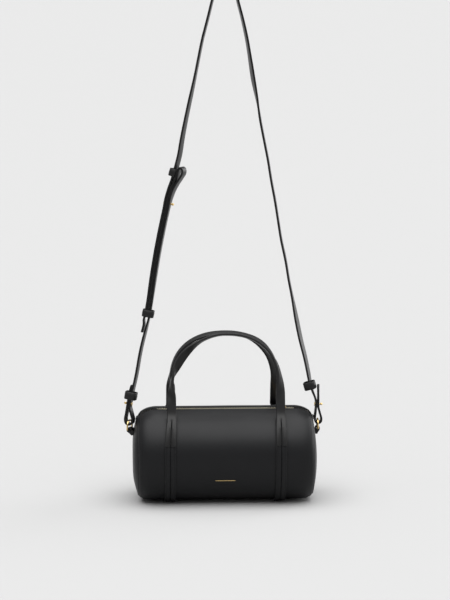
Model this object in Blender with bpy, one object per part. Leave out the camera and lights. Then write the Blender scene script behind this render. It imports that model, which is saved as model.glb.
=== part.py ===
# Small barrel travel bag with two handles, a zipped top and a long buttoned shoulder strap.
# Metres, +Z up. The origin is on the floor under the middle of the barrel, +X runs along
# the barrel and +Y points to the back. Every size is set here and the pieces follow.
import math

import bmesh
import bpy
from mathutils import Matrix, Vector

# Clearance between neighbouring pieces
FIT_GAP = 0.0003

# Barrel
BARREL_RADIUS = 0.061
SEAM_HALF_LENGTH = 0.112
BASE_FLAT_WIDTH = 0.036
TOP_CORNER_LENGTH = 0.024
TOP_CORNER_REACH = 0.0255
TOP_CORNER_DEPTH = 0.0145
LOW_CORNER_LENGTH = 0.014
LOW_CORNER_REACH = 0.0175
LOW_CORNER_DEPTH = 0.012
END_BULGE_LEFT = 0.0088
END_BULGE_RIGHT = 0.0078
END_FULL_LEFT_SHARE = 0.7
END_SAG = 0.008
DOME_SHARES = (1.0, 0.93, 0.8, 0.6, 0.35, 0.0)
LEATHER = 0.0018
BOARD = 0.0008
LINING = 0.0008
ROLL_ANGLE = math.radians(6)

# Zip, measured across and down from the barrel's surface
ZIP_SLOT_WIDTH = 0.010
TOOTH_GAP = 0.0014
TOOTH_WIDTH = 0.0016
TOOTH_DEPTH = 0.0020
TOOTH_SINK = 0.0010
TAPE_WIDTH = 0.013
TAPE_THICKNESS = 0.0007
TAPE_SHY_OF_SEAM = 0.003
TEETH_SHY_OF_SEAM = 0.006
STOP_LENGTH = 0.002
STOP_RISE = 0.0003
END_TAB_WIDTH = 0.014
END_TAB_LOW_SHARE = 0.93
END_TAB_HIGH_SHARE = 0.991
END_TAB_LEATHER = 0.0012
SLIDER_PLACE = 0.0735
SLIDER_LENGTH = 0.010
SLIDER_WIDTH = 0.0084
SLIDER_PLATE = 0.0012
SLIDER_BRIDGE = 0.0008
BAIL_WIRE = 0.0012
PULL_LENGTH = 0.017
PULL_WIDTH = 0.0056
PULL_THICKNESS = 0.0009
PULL_EYE_WALL = 0.0006
PULL_DROOP = math.radians(12.5)

# Inside
LINING_SLOT_WIDTH = 0.018
LINING_SHY_OF_SEAM = 0.0025
BASE_BOARD_LENGTH = 0.190
BASE_BOARD_WIDTH = 0.084
POCKET_LENGTH = 0.110
POCKET_DEPTH = 0.058
POCKET_TOP_ANGLE = math.radians(-62)
STIFFENER_SHARE = 0.90
END_LINING_SHARE = 0.96
LAYER_DOME_SHARES = (1.0, 0.8, 0.5, 0.0)

# Straps that wrap the barrel, and the two handles sewn over them
WRAP_SPACING = 0.140
WRAP_WIDTH = 0.0138
WRAP_THICKNESS = 0.0022
HANDLE_LEAVE_ANGLE = math.radians(30)
HANDLE_SEWN_LENGTH = 0.042
HANDLE_WIDTH = 0.0118
HANDLE_THICKNESS = 0.0037
HANDLE_CORNER = 0.0010
HANDLE_LEATHER = 0.0010
HANDLE_TOP_HEIGHT = 0.2195
HANDLE_MEET_Y = -0.004
HANDLE_LEAN_REAR = 0.0034
HANDLE_END_SHARE = 0.25

# Rings and their tabs
RING_HALF_OPENING = 0.0062
RING_WIRE = 0.0022
RING_LEG = 0.0045
RING_BAR_RISE = 0.0325
RING_CORNER = 0.0016
RING_TURN_LEFT = math.radians(25)
TAB_WIDTH = 0.009
TAB_LEATHER = 0.0012
TAB_DROP = 0.0075
TAB_SLACK = 0.0004
TAB_BEND_SHARE = 0.7
TAB_WAIST_SHARE = 0.3
TAB_INNER_SHARE = 0.75
TAB_NIP_SHARE = 0.95
RING_STANDOFF = 0.0006
TURNED_TAB_STANDOFF = 0.0020

# Shoulder strap
STRAP_WIDTH = 0.010
STRAP_THICKNESS = 0.00265
STRAP_RISE = 0.592
LOOP_SEAT = 0.0020
LOOP_HALF_GAP_LEFT = 0.0035
LOOP_HALF_GAP_RIGHT = 0.0027
LOOP_SHIFT_RIGHT = 0.0006
LOOP_WAIST_SHARE = 0.45
KEEPER_HEIGHT = 0.0110
KEEPER_WALL = 0.0013
KEEPER_SLACK = 0.0005
KEEPER_BREADTH = 0.0152
KEEPER_BREADTH_UPPER = 0.0095
KEEPER_CORNER_SHARE = 0.27
KEEPER_SHIFT_RIGHT = 0.0016
KEEPER_SHIFT_UPPER = 0.0013
STUD_SHANK = 0.0012
STUD_FLANGE = 0.0026
STUD_FLANGE_THICKNESS = 0.0007
STUD_BALL = 0.0019
STUD_NECK = 0.0010
STUD_HOLE_SLACK = 0.0004

# How finely round shapes are divided
ARC_STEP = math.radians(6)
RING_STEP = math.radians(15)
WIRE_SIDES = 8
STUD_SIDES = 12
ROUTE_STEPS = 8
ROUTE_TURN = math.radians(4)
ROUTE_REACH = 0.015
LEG_STEPS = 5
MITRE_LEAST_SHARE = 0.5

# Places that follow from the sizes above
FLAT_DROP = math.sqrt(BARREL_RADIUS**2 - (BASE_FLAT_WIDTH / 2) ** 2)
CENTRE_Z = FLAT_DROP + FIT_GAP + WRAP_THICKNESS
LAYER_PITCH = STRAP_THICKNESS + FIT_GAP
HANDLE_SEAT = FIT_GAP + WRAP_THICKNESS + FIT_GAP
TAPE_SINK = LEATHER + 2 * FIT_GAP
BAIL_LENGTH = PULL_WIDTH + 2 * BAIL_WIRE + 2 * FIT_GAP
LINING_SINK = TAPE_SINK + max(TAPE_THICKNESS, BOARD) + FIT_GAP
RING_WIRE_RADIUS = RING_WIRE / 2
RING_PATH_RADIUS = RING_HALF_OPENING + RING_WIRE_RADIUS
RING_Y = -RING_BAR_RISE * math.tan(ROLL_ANGLE)
TAB_FOLD_RADIUS = RING_WIRE_RADIUS + TAB_SLACK + TAB_LEATHER / 2

# Routes of the shoulder strap: (share of the ring's distance from the middle,
# share of the strap's rise above the ring's centre), from the bag upwards
LEFT_LINE_SHARES = [
    (-1.000, 0.0485), (-0.985, 0.067), (-0.964, 0.088), (-0.937, 0.112), (-0.911, 0.146), (-0.878, 0.179),
    (-0.841, 0.210), (-0.804, 0.249), (-0.782, 0.277), (-0.750, 0.321), (-0.716, 0.365), (-0.677, 0.409),
    (-0.634, 0.452), (-0.588, 0.495),
]
FOLD_SHARES = [
    (-0.528, 0.515), (-0.484, 0.530), (-0.437, 0.543), (-0.403, 0.555), (-0.407, 0.562),
    (-0.433, 0.5655), (-0.459, 0.561), (-0.474, 0.551), (-0.492, 0.537), (-0.534, 0.521),
]
TAIL_LEFT_SHARES = [(-0.869, 0.207), (-0.852, 0.225)]
LONG_LEFT_SHARES = [
    (-0.573, 0.521), (-0.530, 0.545), (-0.505, 0.564), (-0.470, 0.592), (-0.444, 0.625), (-0.404, 0.668),
    (-0.360, 0.711), (-0.315, 0.754), (-0.275, 0.796), (-0.233, 0.839), (-0.181, 0.881), (-0.130, 0.924),
    (-0.082, 0.966),
]
LONG_RIGHT_SHARES = [
    (0.084, 0.966), (0.131, 0.924), (0.186, 0.881), (0.231, 0.839), (0.266, 0.796), (0.299, 0.753),
    (0.340, 0.710), (0.374, 0.667), (0.415, 0.624), (0.457, 0.581), (0.491, 0.538), (0.532, 0.494),
    (0.566, 0.451), (0.601, 0.407), (0.648, 0.363), (0.684, 0.319), (0.727, 0.276), (0.770, 0.231),
    (0.815, 0.187), (0.859, 0.152), (0.902, 0.110), (0.921, 0.089), (0.943, 0.075),
]
TOP_BEND_SHARES = [(-0.0515, 0.99), (0.0, 1.0), (0.0515, 0.99)]
STUD_LEFT_SHARE = 0.0485
STUD_RIGHT_SHARE = 0.0448
STUD_RIGHT_LEAN_SHARE = 0.994
TIP_SHARE = 0.089
STACK_LOW_SHARE = 0.234
INSIDE_END_SHARE = 0.2405
STACK_TOP_SHARE = 0.495
STUD_ADJUSTER_SHARE = 0.4885
KEEPER_LEFT_SHARE = 0.067
KEEPER_RIGHT_SHARE = 0.087
KEEPER_LOW_SHARE = 0.2485
KEEPER_UPPER_SHARE = 0.554

# Turn of the strap about its own run: (share of the rise, angle)
TURN_LEFT_SHARES = [
    (0.02, math.radians(18)), (0.10, math.radians(14)), (0.20, math.radians(14)), (0.26, math.radians(9)),
    (0.50, math.radians(9)), (0.57, math.radians(19)), (0.70, math.radians(17)), (0.78, math.radians(9)),
    (0.95, math.radians(7)), (1.0, 0.0),
]
TURN_RIGHT_SHARES = [
    (0.055, 0.0), (0.11, math.radians(17)), (0.22, math.radians(20)), (0.30, math.radians(7)),
    (0.67, math.radians(5)), (0.76, math.radians(-16)), (0.83, math.radians(-10)), (0.93, math.radians(-7)),
    (1.0, 0.0),
]

# Twist of each handle's legs: (share of the arch's length that stays plain, share at full twist)
TWIST_SHARES = {
    ("front", -1): (0.03, 0.20), ("front", 1): (0.06, 0.30),
    ("rear", -1): (0.10, 0.36), ("rear", 1): (0.06, 0.30),
}


# Turned and lofted shapes
def clear_scene():
    for old in list(bpy.data.objects):
        bpy.data.objects.remove(old, do_unlink=True)


def material(name, colour, roughness, metallic=0.0):
    made = bpy.data.materials.new(name)
    made.use_nodes = True
    shader = made.node_tree.nodes["Principled BSDF"]
    shader.inputs["Base Color"].default_value = (*colour, 1)
    shader.inputs["Roughness"].default_value = roughness
    shader.inputs["Metallic"].default_value = metallic
    made.diffuse_color = (*colour, 1)
    return made


def finish_object(name, bm, look, crease=math.radians(35)):
    """Closes a bmesh into an object with outward faces, smooth but for its sharp edges."""
    bmesh.ops.remove_doubles(bm, verts=bm.verts, dist=FIT_GAP / 100)
    bmesh.ops.dissolve_degenerate(bm, edges=bm.edges, dist=FIT_GAP / 100)
    quads = [face for face in bm.faces if len(face.verts) == 4]
    bmesh.ops.triangulate(bm, faces=quads, quad_method="FIXED")
    bmesh.ops.recalc_face_normals(bm, faces=bm.faces)
    mesh = bpy.data.meshes.new(name)
    bm.to_mesh(mesh)
    bm.free()
    mesh.shade_smooth()
    mesh.set_sharp_from_angle(angle=crease)
    mesh.materials.append(look)
    obj = bpy.data.objects.new(name, mesh)
    bpy.context.collection.objects.link(obj)
    return obj


def add_loft(bm, loops, closed=False):
    """Skins loops of points; each loop runs out along one side and back along the other.

    Both sides split their quads along the same diagonal, so nested skins stay parallel."""
    rows = [[bm.verts.new(p) for p in loop] for loop in loops]
    count = len(rows[0])
    pairs = list(zip(rows, rows[1:]))
    if closed:
        pairs.append((rows[-1], rows[0]))
    for here, there in pairs:
        for i in range(count):
            j = (i + 1) % count
            quad = (here[i], here[j], there[j], there[i])
            bm.faces.new(quad if i < count // 2 else quad[1:] + quad[:1])
    if not closed:
        for row in (rows[0], rows[-1]):
            for i in range(count // 2 - 1):
                bm.faces.new((row[i], row[i + 1], row[count - 2 - i], row[count - 1 - i]))


def add_sleeve(bm, outer, inner):
    """Skins a hollow run between outer loops and inner loops, open at both ends."""
    outs = [[bm.verts.new(p) for p in loop] for loop in outer]
    ins = [[bm.verts.new(p) for p in loop] for loop in inner]
    count = len(outs[0])
    for rows in (outs, ins):
        for here, there in zip(rows, rows[1:]):
            for i in range(count):
                j = (i + 1) % count
                quad = (here[i], here[j], there[j], there[i])
                bm.faces.new(quad if i < count // 2 else quad[1:] + quad[:1])
    for rim, bore in ((outs[0], ins[0]), (outs[-1], ins[-1])):
        for i in range(count):
            j = (i + 1) % count
            bm.faces.new((rim[i], rim[j], bore[j], bore[i]))


def add_turned(bm, profile, sides):
    """Turns (radius, height) points about Z into a closed solid."""
    rows = []
    for radius, height in profile:
        ring = []
        for i in range(sides):
            angle = 2 * math.pi * i / sides
            ring.append(bm.verts.new((radius * math.cos(angle), radius * math.sin(angle), height)))
        rows.append(ring)
    for here, there in zip(rows, rows[1:]):
        for i in range(sides):
            j = (i + 1) % sides
            bm.faces.new((here[i], here[j], there[j], there[i]))
    bm.faces.new(rows[0])
    bm.faces.new(rows[-1])


def cut_with(obj, cutter):
    cutter.hide_render = True
    cutter.display_type = "WIRE"
    cut = obj.modifiers.new("holes", "BOOLEAN")
    cut.operation = "DIFFERENCE"
    cut.object = cutter


def spread(first, last, step):
    """Evenly spaced values from first to last, no further apart than step."""
    count = max(1, math.ceil(abs(last - first) / step - 1e-9))
    return [first + (last - first) * i / count for i in range(count + 1)]


def ease(share):
    share = min(max(share, 0.0), 1.0)
    return share * share * (3 - 2 * share)


def read_table(rows, at):
    """Value at a share, read from rows of (share, value) with eased steps between them."""
    if at <= rows[0][0]:
        return rows[0][1]
    for (low, before), (high, after) in zip(rows, rows[1:]):
        if at <= high:
            return before + (after - before) * ease((at - low) / (high - low))
    return rows[-1][1]


# The barrel's surface
def corner_drop(x, length, reach, depth):
    """How far the outline has fallen at x: a quarter ellipse that starts short of the seam."""
    past = max(0.0, abs(x) - (SEAM_HALF_LENGTH - length)) / reach
    return depth * (1 - math.sqrt(max(0.0, 1 - past * past)))


def barrel_point(x, angle, sink=0.0):
    """A point sink below the barrel's surface; the angle runs from the top over the front."""
    top_share = (1 + math.cos(angle)) / 2
    top_drop = corner_drop(x, TOP_CORNER_LENGTH, TOP_CORNER_REACH, TOP_CORNER_DEPTH)
    low_drop = corner_drop(x, LOW_CORNER_LENGTH, LOW_CORNER_REACH, LOW_CORNER_DEPTH)
    radius = BARREL_RADIUS - top_share * top_drop - (1 - top_share) * low_drop - sink
    lowest = CENTRE_Z - FLAT_DROP + low_drop + sink
    height = max(CENTRE_Z + radius * math.cos(angle), lowest)
    return Vector((x, -radius * math.sin(angle), height))


def end_bulge(side, share, angle):
    """How far an end's dome stands out; the left one is fuller towards the top, where its ring pulls."""
    if side > 0:
        return END_BULGE_RIGHT * (1 - share**2)
    top_share = (1 + math.cos(angle)) / 2
    return END_BULGE_LEFT * (1 - share ** (2 + 2 * END_FULL_LEFT_SHARE * top_share**2))


def end_point(side, share, angle, shift=0.0, sink=0.0):
    """A point on an end's dome: share 1 is its rim, 0 its crown; shift moves it inwards."""
    rim = barrel_point(SEAM_HALF_LENGTH, angle, sink)
    crown = Vector((rim.x, 0.0, CENTRE_Z - END_SAG))
    spot = crown.lerp(rim, share)
    bulge = end_bulge(side, share, angle) - shift * (1 - share * share)
    return Vector((side * (SEAM_HALF_LENGTH + FIT_GAP + bulge), spot.y, spot.z))


def dome_reach(side, rise):
    """How far from the middle an end's outer face lies, at a height above the barrel's centre."""
    rim = barrel_point(SEAM_HALF_LENGTH, ROLL_ANGLE)
    share = (rise + END_SAG) / (rim.z - CENTRE_Z + END_SAG)
    return SEAM_HALF_LENGTH + FIT_GAP + end_bulge(side, share, ROLL_ANGLE)


def stations(half_length, count=5):
    """Places along the barrel, close together only where its ends round off."""
    start = SEAM_HALF_LENGTH - TOP_CORNER_LENGTH
    turn = math.pi / 2 / count
    places = [start + (half_length - start) * math.sin(turn * i) for i in range(count + 1)]
    return [-x for x in reversed(places)] + places


def round_angles(first, last, step=ARC_STEP):
    """Angles from first to last, with the edges of the flat base among them."""
    kink = math.asin(BASE_FLAT_WIDTH / 2 / BARREL_RADIUS)
    marks = [first] + [a for a in (math.pi - kink, math.pi + kink) if first < a < last] + [last]
    angles = [first]
    for low, high in zip(marks, marks[1:]):
        angles += spread(low, high, step)[1:]
    return angles


def barrel_plate(name, look, places, angles, outer_sink, inner_sink):
    """A plate that follows the barrel between two depths below its surface."""
    loops = []
    for x in places:
        outer = [barrel_point(x, a, outer_sink) for a in angles]
        inner = [barrel_point(x, a, inner_sink) for a in reversed(angles)]
        loops.append(outer + inner)
    bm = bmesh.new()
    add_loft(bm, loops)
    return finish_object(name, bm, look)


def end_plate(name, look, side, outer_shift, inner_shift, rim_share, outer_sink, inner_sink, step):
    """A domed plate across one end of the barrel."""
    shares = [rim_share * s for s in DOME_SHARES]
    loops = []
    for angle in round_angles(0.0, 2 * math.pi, step)[:-1]:
        outer = [end_point(side, s, angle, outer_shift, outer_sink) for s in shares]
        inner = [end_point(side, s, angle, inner_shift, inner_sink) for s in reversed(shares)]
        loops.append(outer + inner)
    bm = bmesh.new()
    add_loft(bm, loops, closed=True)
    return finish_object(name, bm, look)


def make_panels(looks):
    slot = ZIP_SLOT_WIDTH / 2 / BARREL_RADIUS
    angles = round_angles(ROLL_ANGLE + slot, 2 * math.pi + ROLL_ANGLE - slot)
    barrel_plate("main_panel", looks["leather"], stations(SEAM_HALF_LENGTH), angles, 0.0, LEATHER)
    for side, word in ((-1, "left"), (1, "right")):
        end_plate("end_panel_" + word, looks["leather"], side, 0.0, LEATHER, 1.0, 0.0, LEATHER, ARC_STEP * 2)


# Lining, boards and pocket
def make_inside(looks):
    slot = LINING_SLOT_WIDTH / 2 / BARREL_RADIUS
    half = SEAM_HALF_LENGTH - LINING_SHY_OF_SEAM
    step = ARC_STEP * 2
    angles = round_angles(ROLL_ANGLE + slot, 2 * math.pi + ROLL_ANGLE - slot, step)
    floor_of_lining = LINING_SINK + LINING
    places = stations(half, 3)
    barrel_plate("lining_main", looks["lining"], places, angles, LINING_SINK, floor_of_lining)

    reach = BASE_BOARD_WIDTH / 2 / BARREL_RADIUS
    angles = round_angles(math.pi - reach, math.pi + reach)
    ends = [-BASE_BOARD_LENGTH / 2, BASE_BOARD_LENGTH / 2]
    barrel_plate("base_board", looks["board"], ends, angles, TAPE_SINK, TAPE_SINK + BOARD)

    back = 2 * math.pi + POCKET_TOP_ANGLE
    angles = [a for a in reversed(spread(back, back - POCKET_DEPTH / BARREL_RADIUS, step))]
    ends = [-POCKET_LENGTH / 2, POCKET_LENGTH / 2]
    sink = floor_of_lining + 2 * FIT_GAP
    barrel_plate("inner_pocket", looks["lining"], ends, angles, sink, sink + LINING)

    for side, word in ((-1, "left"), (1, "right")):
        shift = LEATHER + FIT_GAP
        name = "end_stiffener_" + word
        end_stack(name, looks["board"], side, shift, BOARD, STIFFENER_SHARE, step)
        shift += BOARD + FIT_GAP
        name = "lining_end_" + word
        end_stack(name, looks["lining"], side, shift, LINING, END_LINING_SHARE, step)


def end_stack(name, look, side, shift, thickness, rim_share, step):
    """A thin domed layer behind an end panel, moved inwards by shift."""
    shares = [rim_share * s for s in LAYER_DOME_SHARES]
    inward = Vector((-side, 0, 0))
    loops = []
    for angle in round_angles(0.0, 2 * math.pi, step)[:-1]:
        face = [end_point(side, s, angle, LEATHER, LEATHER) for s in shares]
        outer = [p + inward * (shift - LEATHER) for p in face]
        inner = [p + inward * (shift - LEATHER + thickness) for p in reversed(face)]
        loops.append(outer + inner)
    bm = bmesh.new()
    add_loft(bm, loops, closed=True)
    finish_object(name, bm, look)


# Zip
def zip_angles(near, far, hand):
    """Angles of a strip that lies near to far from the zip's middle, on the front for hand 1."""
    edges = sorted((ROLL_ANGLE + hand * near / BARREL_RADIUS, ROLL_ANGLE + hand * far / BARREL_RADIUS))
    return spread(edges[0], edges[1], ARC_STEP)


def make_zip(looks):
    tooth_near = TOOTH_GAP / 2
    tooth_far = tooth_near + TOOTH_WIDTH
    tape_near = tooth_far + FIT_GAP
    tape_places = stations(SEAM_HALF_LENGTH - TAPE_SHY_OF_SEAM)
    teeth_half = SEAM_HALF_LENGTH - TEETH_SHY_OF_SEAM
    tooth_floor = TOOTH_SINK + TOOTH_DEPTH
    for hand, word in ((1, "front"), (-1, "rear")):
        angles = zip_angles(tape_near, tape_near + TAPE_WIDTH, hand)
        sinks = TAPE_SINK, TAPE_SINK + TAPE_THICKNESS
        barrel_plate("zip_tape_" + word, looks["tape"], tape_places, angles, *sinks)
        angles = zip_angles(tooth_near, tooth_far, hand)
        name = "zip_teeth_" + word
        barrel_plate(name, looks["metal"], stations(teeth_half), angles, TOOTH_SINK, tooth_floor)

    for side, word in ((-1, "left"), (1, "right")):
        near = side * (teeth_half + FIT_GAP)
        loops = []
        for x in (near, near + side * STOP_LENGTH):
            angles = zip_angles(-tooth_far, tooth_far, 1)
            outer = [barrel_point(x, a, TOOTH_SINK - STOP_RISE) for a in angles]
            inner = [barrel_point(x, a, tooth_floor) for a in reversed(angles)]
            loops.append(outer + inner)
        bm = bmesh.new()
        add_loft(bm, loops)
        finish_object("zip_stop_" + word, bm, looks["metal"])

    half = END_TAB_WIDTH / 2 / BARREL_RADIUS
    for side, word in ((-1, "left"), (1, "right")):
        loops = []
        outward = Vector((side, 0, 0))
        for angle in spread(ROLL_ANGLE - half, ROLL_ANGLE + half, ARC_STEP):
            low = end_point(side, END_TAB_LOW_SHARE, angle) + outward * FIT_GAP
            high = end_point(side, END_TAB_HIGH_SHARE, angle) + outward * FIT_GAP
            thick = outward * END_TAB_LEATHER
            loops.append([low, high, high + thick, low + thick])
        bm = bmesh.new()
        add_loft(bm, loops)
        finish_object("zip_end_tab_" + word, bm, looks["leather"])


def make_slider(looks):
    """Slider of two plates joined by a bridge between the teeth, with a bail for the pull."""
    top_under = -(TOOTH_SINK - FIT_GAP)
    low_over = -(TOOTH_SINK + TOOTH_DEPTH + 2 * FIT_GAP)
    top_over = top_under + SLIDER_PLATE
    low_under = low_over - SLIDER_PLATE
    half = SLIDER_WIDTH / 2
    web = SLIDER_BRIDGE / 2
    outline = [
        (web, low_over), (half, low_over), (half, low_under), (-half, low_under), (-half, low_over),
        (-web, low_over), (-web, top_under), (-half, top_under), (-half, top_over), (half, top_over),
        (half, top_under), (web, top_under),
    ]
    bm = bmesh.new()
    near = [bm.verts.new((-SLIDER_LENGTH / 2, y, z)) for y, z in outline]
    body = bm.faces.new(near)
    grown = bmesh.ops.extrude_face_region(bm, geom=[body])["geom"]
    moved = [v for v in grown if isinstance(v, bmesh.types.BMVert)]
    bmesh.ops.translate(bm, vec=(SLIDER_LENGTH, 0, 0), verts=moved)
    slider = finish_object("zip_slider", bm, looks["metal"])

    wire = BAIL_WIRE / 2
    bore = wire + FIT_GAP
    eye = bore + PULL_EYE_WALL
    bail_rise = top_over + eye + FIT_GAP
    foot = BAIL_LENGTH / 2 - wire
    route = [Vector((-foot, 0, top_over - wire)), Vector((-foot, 0, bail_rise - wire))]
    route += [Vector((-foot + wire, 0, bail_rise)), Vector((foot - wire, 0, bail_rise))]
    route += [Vector((foot, 0, bail_rise - wire)), Vector((foot, 0, top_over - wire))]
    bm = bmesh.new()
    add_loft(bm, wire_loops(route, Vector((0, 1, 0)), wire, WIRE_SIDES))
    bail = finish_object("zip_bail_guide", bm, looks["metal"])
    bail.hide_render = True
    bail.display_type = "WIRE"
    joined = slider.modifiers.new("bail", "BOOLEAN")
    joined.operation = "UNION"
    joined.object = bail

    place = barrel_point(SLIDER_PLACE, ROLL_ANGLE)
    for part in (slider, bail):
        part.location = place
        part.rotation_euler = (ROLL_ANGLE, 0, 0)

    # The pull is a tongue with an eye round the bail's bar
    tongue = PULL_THICKNESS / 2
    outer = [(PULL_LENGTH, tongue), (eye, tongue)]
    for angle in spread(math.pi / 3, math.pi * 5 / 3, math.pi * 4 / 15):
        outer.append((eye * math.cos(angle), eye * math.sin(angle)))
    outer += [(eye, -tongue), (PULL_LENGTH, -tongue)]
    inner = []
    for i in range(len(outer)):
        angle = 2 * math.pi * (i + 0.5) / len(outer)
        inner.append((bore * math.cos(angle), bore * math.sin(angle)))
    ends = (-PULL_WIDTH / 2, PULL_WIDTH / 2)
    bm = bmesh.new()
    add_sleeve(
        bm,
        [[Vector((x, y, z)) for y, z in outer] for x in ends],
        [[Vector((x, y, z)) for y, z in inner] for x in ends],
    )
    pull = finish_object("zip_pull", bm, looks["metal"])
    pull.location = place + radial(ROLL_ANGLE) * bail_rise
    pull.rotation_euler = (ROLL_ANGLE - PULL_DROOP, 0, 0)


def radial(angle):
    """Unit vector out of the barrel at an angle from the top over the front."""
    return Vector((0, -math.sin(angle), math.cos(angle)))


# Runs of wire and strap
def wire_loops(route, across, radius, sides):
    """Round sections along a route; across is a direction that the route never follows."""
    loops = []
    for i, spot in enumerate(route):
        before = route[max(i - 1, 0)]
        after = route[min(i + 1, len(route) - 1)]
        along = (after - before).normalized()
        out = along.cross(across).normalized()
        side = out.cross(along).normalized()
        loop = []
        for k in range(sides):
            angle = 2 * math.pi * (k + 0.5) / sides
            loop.append(spot + (out * math.cos(angle) + side * math.sin(angle)) * radius)
        loops.append(loop)
    return loops


def box_section(width, thickness, corner=0.0):
    """Half of a strap's section as (across, up) points, which its mirror completes."""
    w, t = width / 2, thickness / 2
    if corner == 0.0:
        return [(-w, t), (w, t), (w, -t), (-w, -t)]
    return [
        (-w, t - corner), (-w + corner, t), (w - corner, t), (w, t - corner),
        (w, corner - t), (w - corner, -t), (corner - w, -t), (-w, corner - t),
    ]


# Wrap straps and handles
def make_wraps(looks):
    first = ROLL_ANGLE + HANDLE_LEAVE_ANGLE
    last = 2 * math.pi + ROLL_ANGLE - HANDLE_LEAVE_ANGLE
    angles = round_angles(first, last)
    for side, word in ((-1, "left"), (1, "right")):
        middle = side * WRAP_SPACING / 2
        ends = [middle - WRAP_WIDTH / 2, middle + WRAP_WIDTH / 2]
        name = "wrap_strap_" + word
        barrel_plate(name, looks["leather"], ends, angles, -FIT_GAP - WRAP_THICKNESS, -FIT_GAP)


def make_handle(looks, word, hand):
    """One handle: its arch, the filler inside it and the two ends sewn over the wrap straps."""
    leave = ROLL_ANGLE + hand * HANDLE_LEAVE_ANGLE
    outer_radius = BARREL_RADIUS + HANDLE_SEAT + HANDLE_THICKNESS
    hinge = Vector((0, 0, CENTRE_Z)) + radial(leave) * outer_radius
    sewn = hand * HANDLE_SEWN_LENGTH / outer_radius

    for side, place in ((-1, "left"), (1, "right")):
        middle = side * WRAP_SPACING / 2
        loops = []
        for angle in spread(leave, leave + sewn, ARC_STEP):
            down = abs(angle - leave) / abs(sewn)
            taper = 1 - (1 - HANDLE_END_SHARE) * down
            low = Vector((middle, 0, CENTRE_Z)) + radial(angle) * (BARREL_RADIUS + HANDLE_SEAT)
            high = low + radial(angle) * HANDLE_THICKNESS * taper
            width = HANDLE_WIDTH + (WRAP_WIDTH - HANDLE_WIDTH) * ease(2 * down)
            half = Vector((width / 2, 0, 0))
            loops.append([high - half, high + half, low + half, low - half])
        bm = bmesh.new()
        add_loft(bm, loops)
        finish_object("handle_" + word + "_end_" + place, bm, looks["leather"])

    # The arch lies in a plane that leans over the zip, hinged on its outer face
    half_span = WRAP_SPACING / 2
    lean = HANDLE_LEAN_REAR if hand < 0 else 0.0
    radius = half_span - lean
    top_y = HANDLE_MEET_Y - hand * (HANDLE_WIDTH + FIT_GAP * 2) / 2
    top = Vector((0, top_y, HANDLE_TOP_HEIGHT - HANDLE_THICKNESS / 2))
    foot = Vector((0, hinge.y, hinge.z))
    for _ in range(4):
        up = (top - foot).normalized()
        inward = Vector((0, up.z, -up.y)) * hand
        foot = hinge + inward * HANDLE_THICKNESS / 2 + up * FIT_GAP
    normal = Vector((0, up.z, -up.y))
    leg = (top - foot).length - radius
    legs = [(half_span - lean * ease(i / LEG_STEPS), leg * i / LEG_STEPS) for i in range(LEG_STEPS)]
    route = [(-x, rise) for x, rise in legs]
    for angle in spread(math.pi, 0.0, ARC_STEP / 2):
        route.append((radius * math.cos(angle), leg + radius * math.sin(angle)))
    route += reversed(legs)
    total = 2 * leg + math.pi * radius

    def arch_loops(width, thickness, corner):
        loops = []
        run = 0.0
        for i, (x, rise) in enumerate(route):
            if i:
                run += math.dist(route[i - 1], route[i])
            before = route[max(i - 1, 0)]
            after = route[min(i + 1, len(route) - 1)]
            along = Vector((after[0] - before[0], 0, 0)) + up * (after[1] - before[1])
            if i in (0, len(route) - 1):
                along = up * (1 if i == 0 else -1)
            along.normalize()
            sideways = along.cross(normal).normalized()
            share = min(run, total - run) / total
            plain, full = TWIST_SHARES[word, -1 if x < 0 else 1]
            turned = ease((share - plain) / (full - plain))
            angle = math.pi / 2 * (1 - turned)
            across = sideways * math.sin(angle) + normal * math.cos(angle)
            outward = across.cross(along).normalized()
            spot = foot + Vector((x, 0, 0)) + up * rise
            loop = []
            for a, b in box_section(width, thickness, corner):
                loop.append(spot + across * a + outward * b)
            loops.append(loop)
        return loops

    bm = bmesh.new()
    wall = HANDLE_LEATHER
    outer = arch_loops(HANDLE_WIDTH, HANDLE_THICKNESS, HANDLE_CORNER)
    bore = HANDLE_WIDTH - 2 * wall, HANDLE_THICKNESS - 2 * wall
    inner = arch_loops(*bore, HANDLE_CORNER / 2)
    add_sleeve(bm, outer, inner)
    cover = finish_object("handle_" + word, bm, looks["leather"])
    bm = bmesh.new()
    add_loft(bm, arch_loops(bore[0] / 2, bore[1] - 4 * FIT_GAP, 0.0))
    filler = finish_object("handle_" + word + "_filler", bm, looks["board"])
    pivot = bpy.data.objects.new("handle_" + word + "_hinge", None)
    bpy.context.collection.objects.link(pivot)
    pivot.location = hinge
    hang_on(pivot, cover, filler)


def hang_on(pivot, *parts):
    """Parents pieces to an empty on their joint's axis, where they already lie."""
    back = Matrix.Translation(-pivot.location)
    for part in parts:
        part.data.transform(back)
        part.parent = pivot


# Rings and tabs
def ring_place(side):
    """Bar centre of a ring, and its turn about the upright."""
    turn = RING_TURN_LEFT if side < 0 else 0.0
    standoff = TURNED_TAB_STANDOFF if side < 0 else RING_STANDOFF
    reach = dome_reach(side, RING_BAR_RISE) + FIT_GAP + TAB_LEATHER + TAB_SLACK + RING_WIRE_RADIUS + standoff
    return Vector((side * reach, RING_Y, CENTRE_Z + RING_BAR_RISE)), turn


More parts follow.
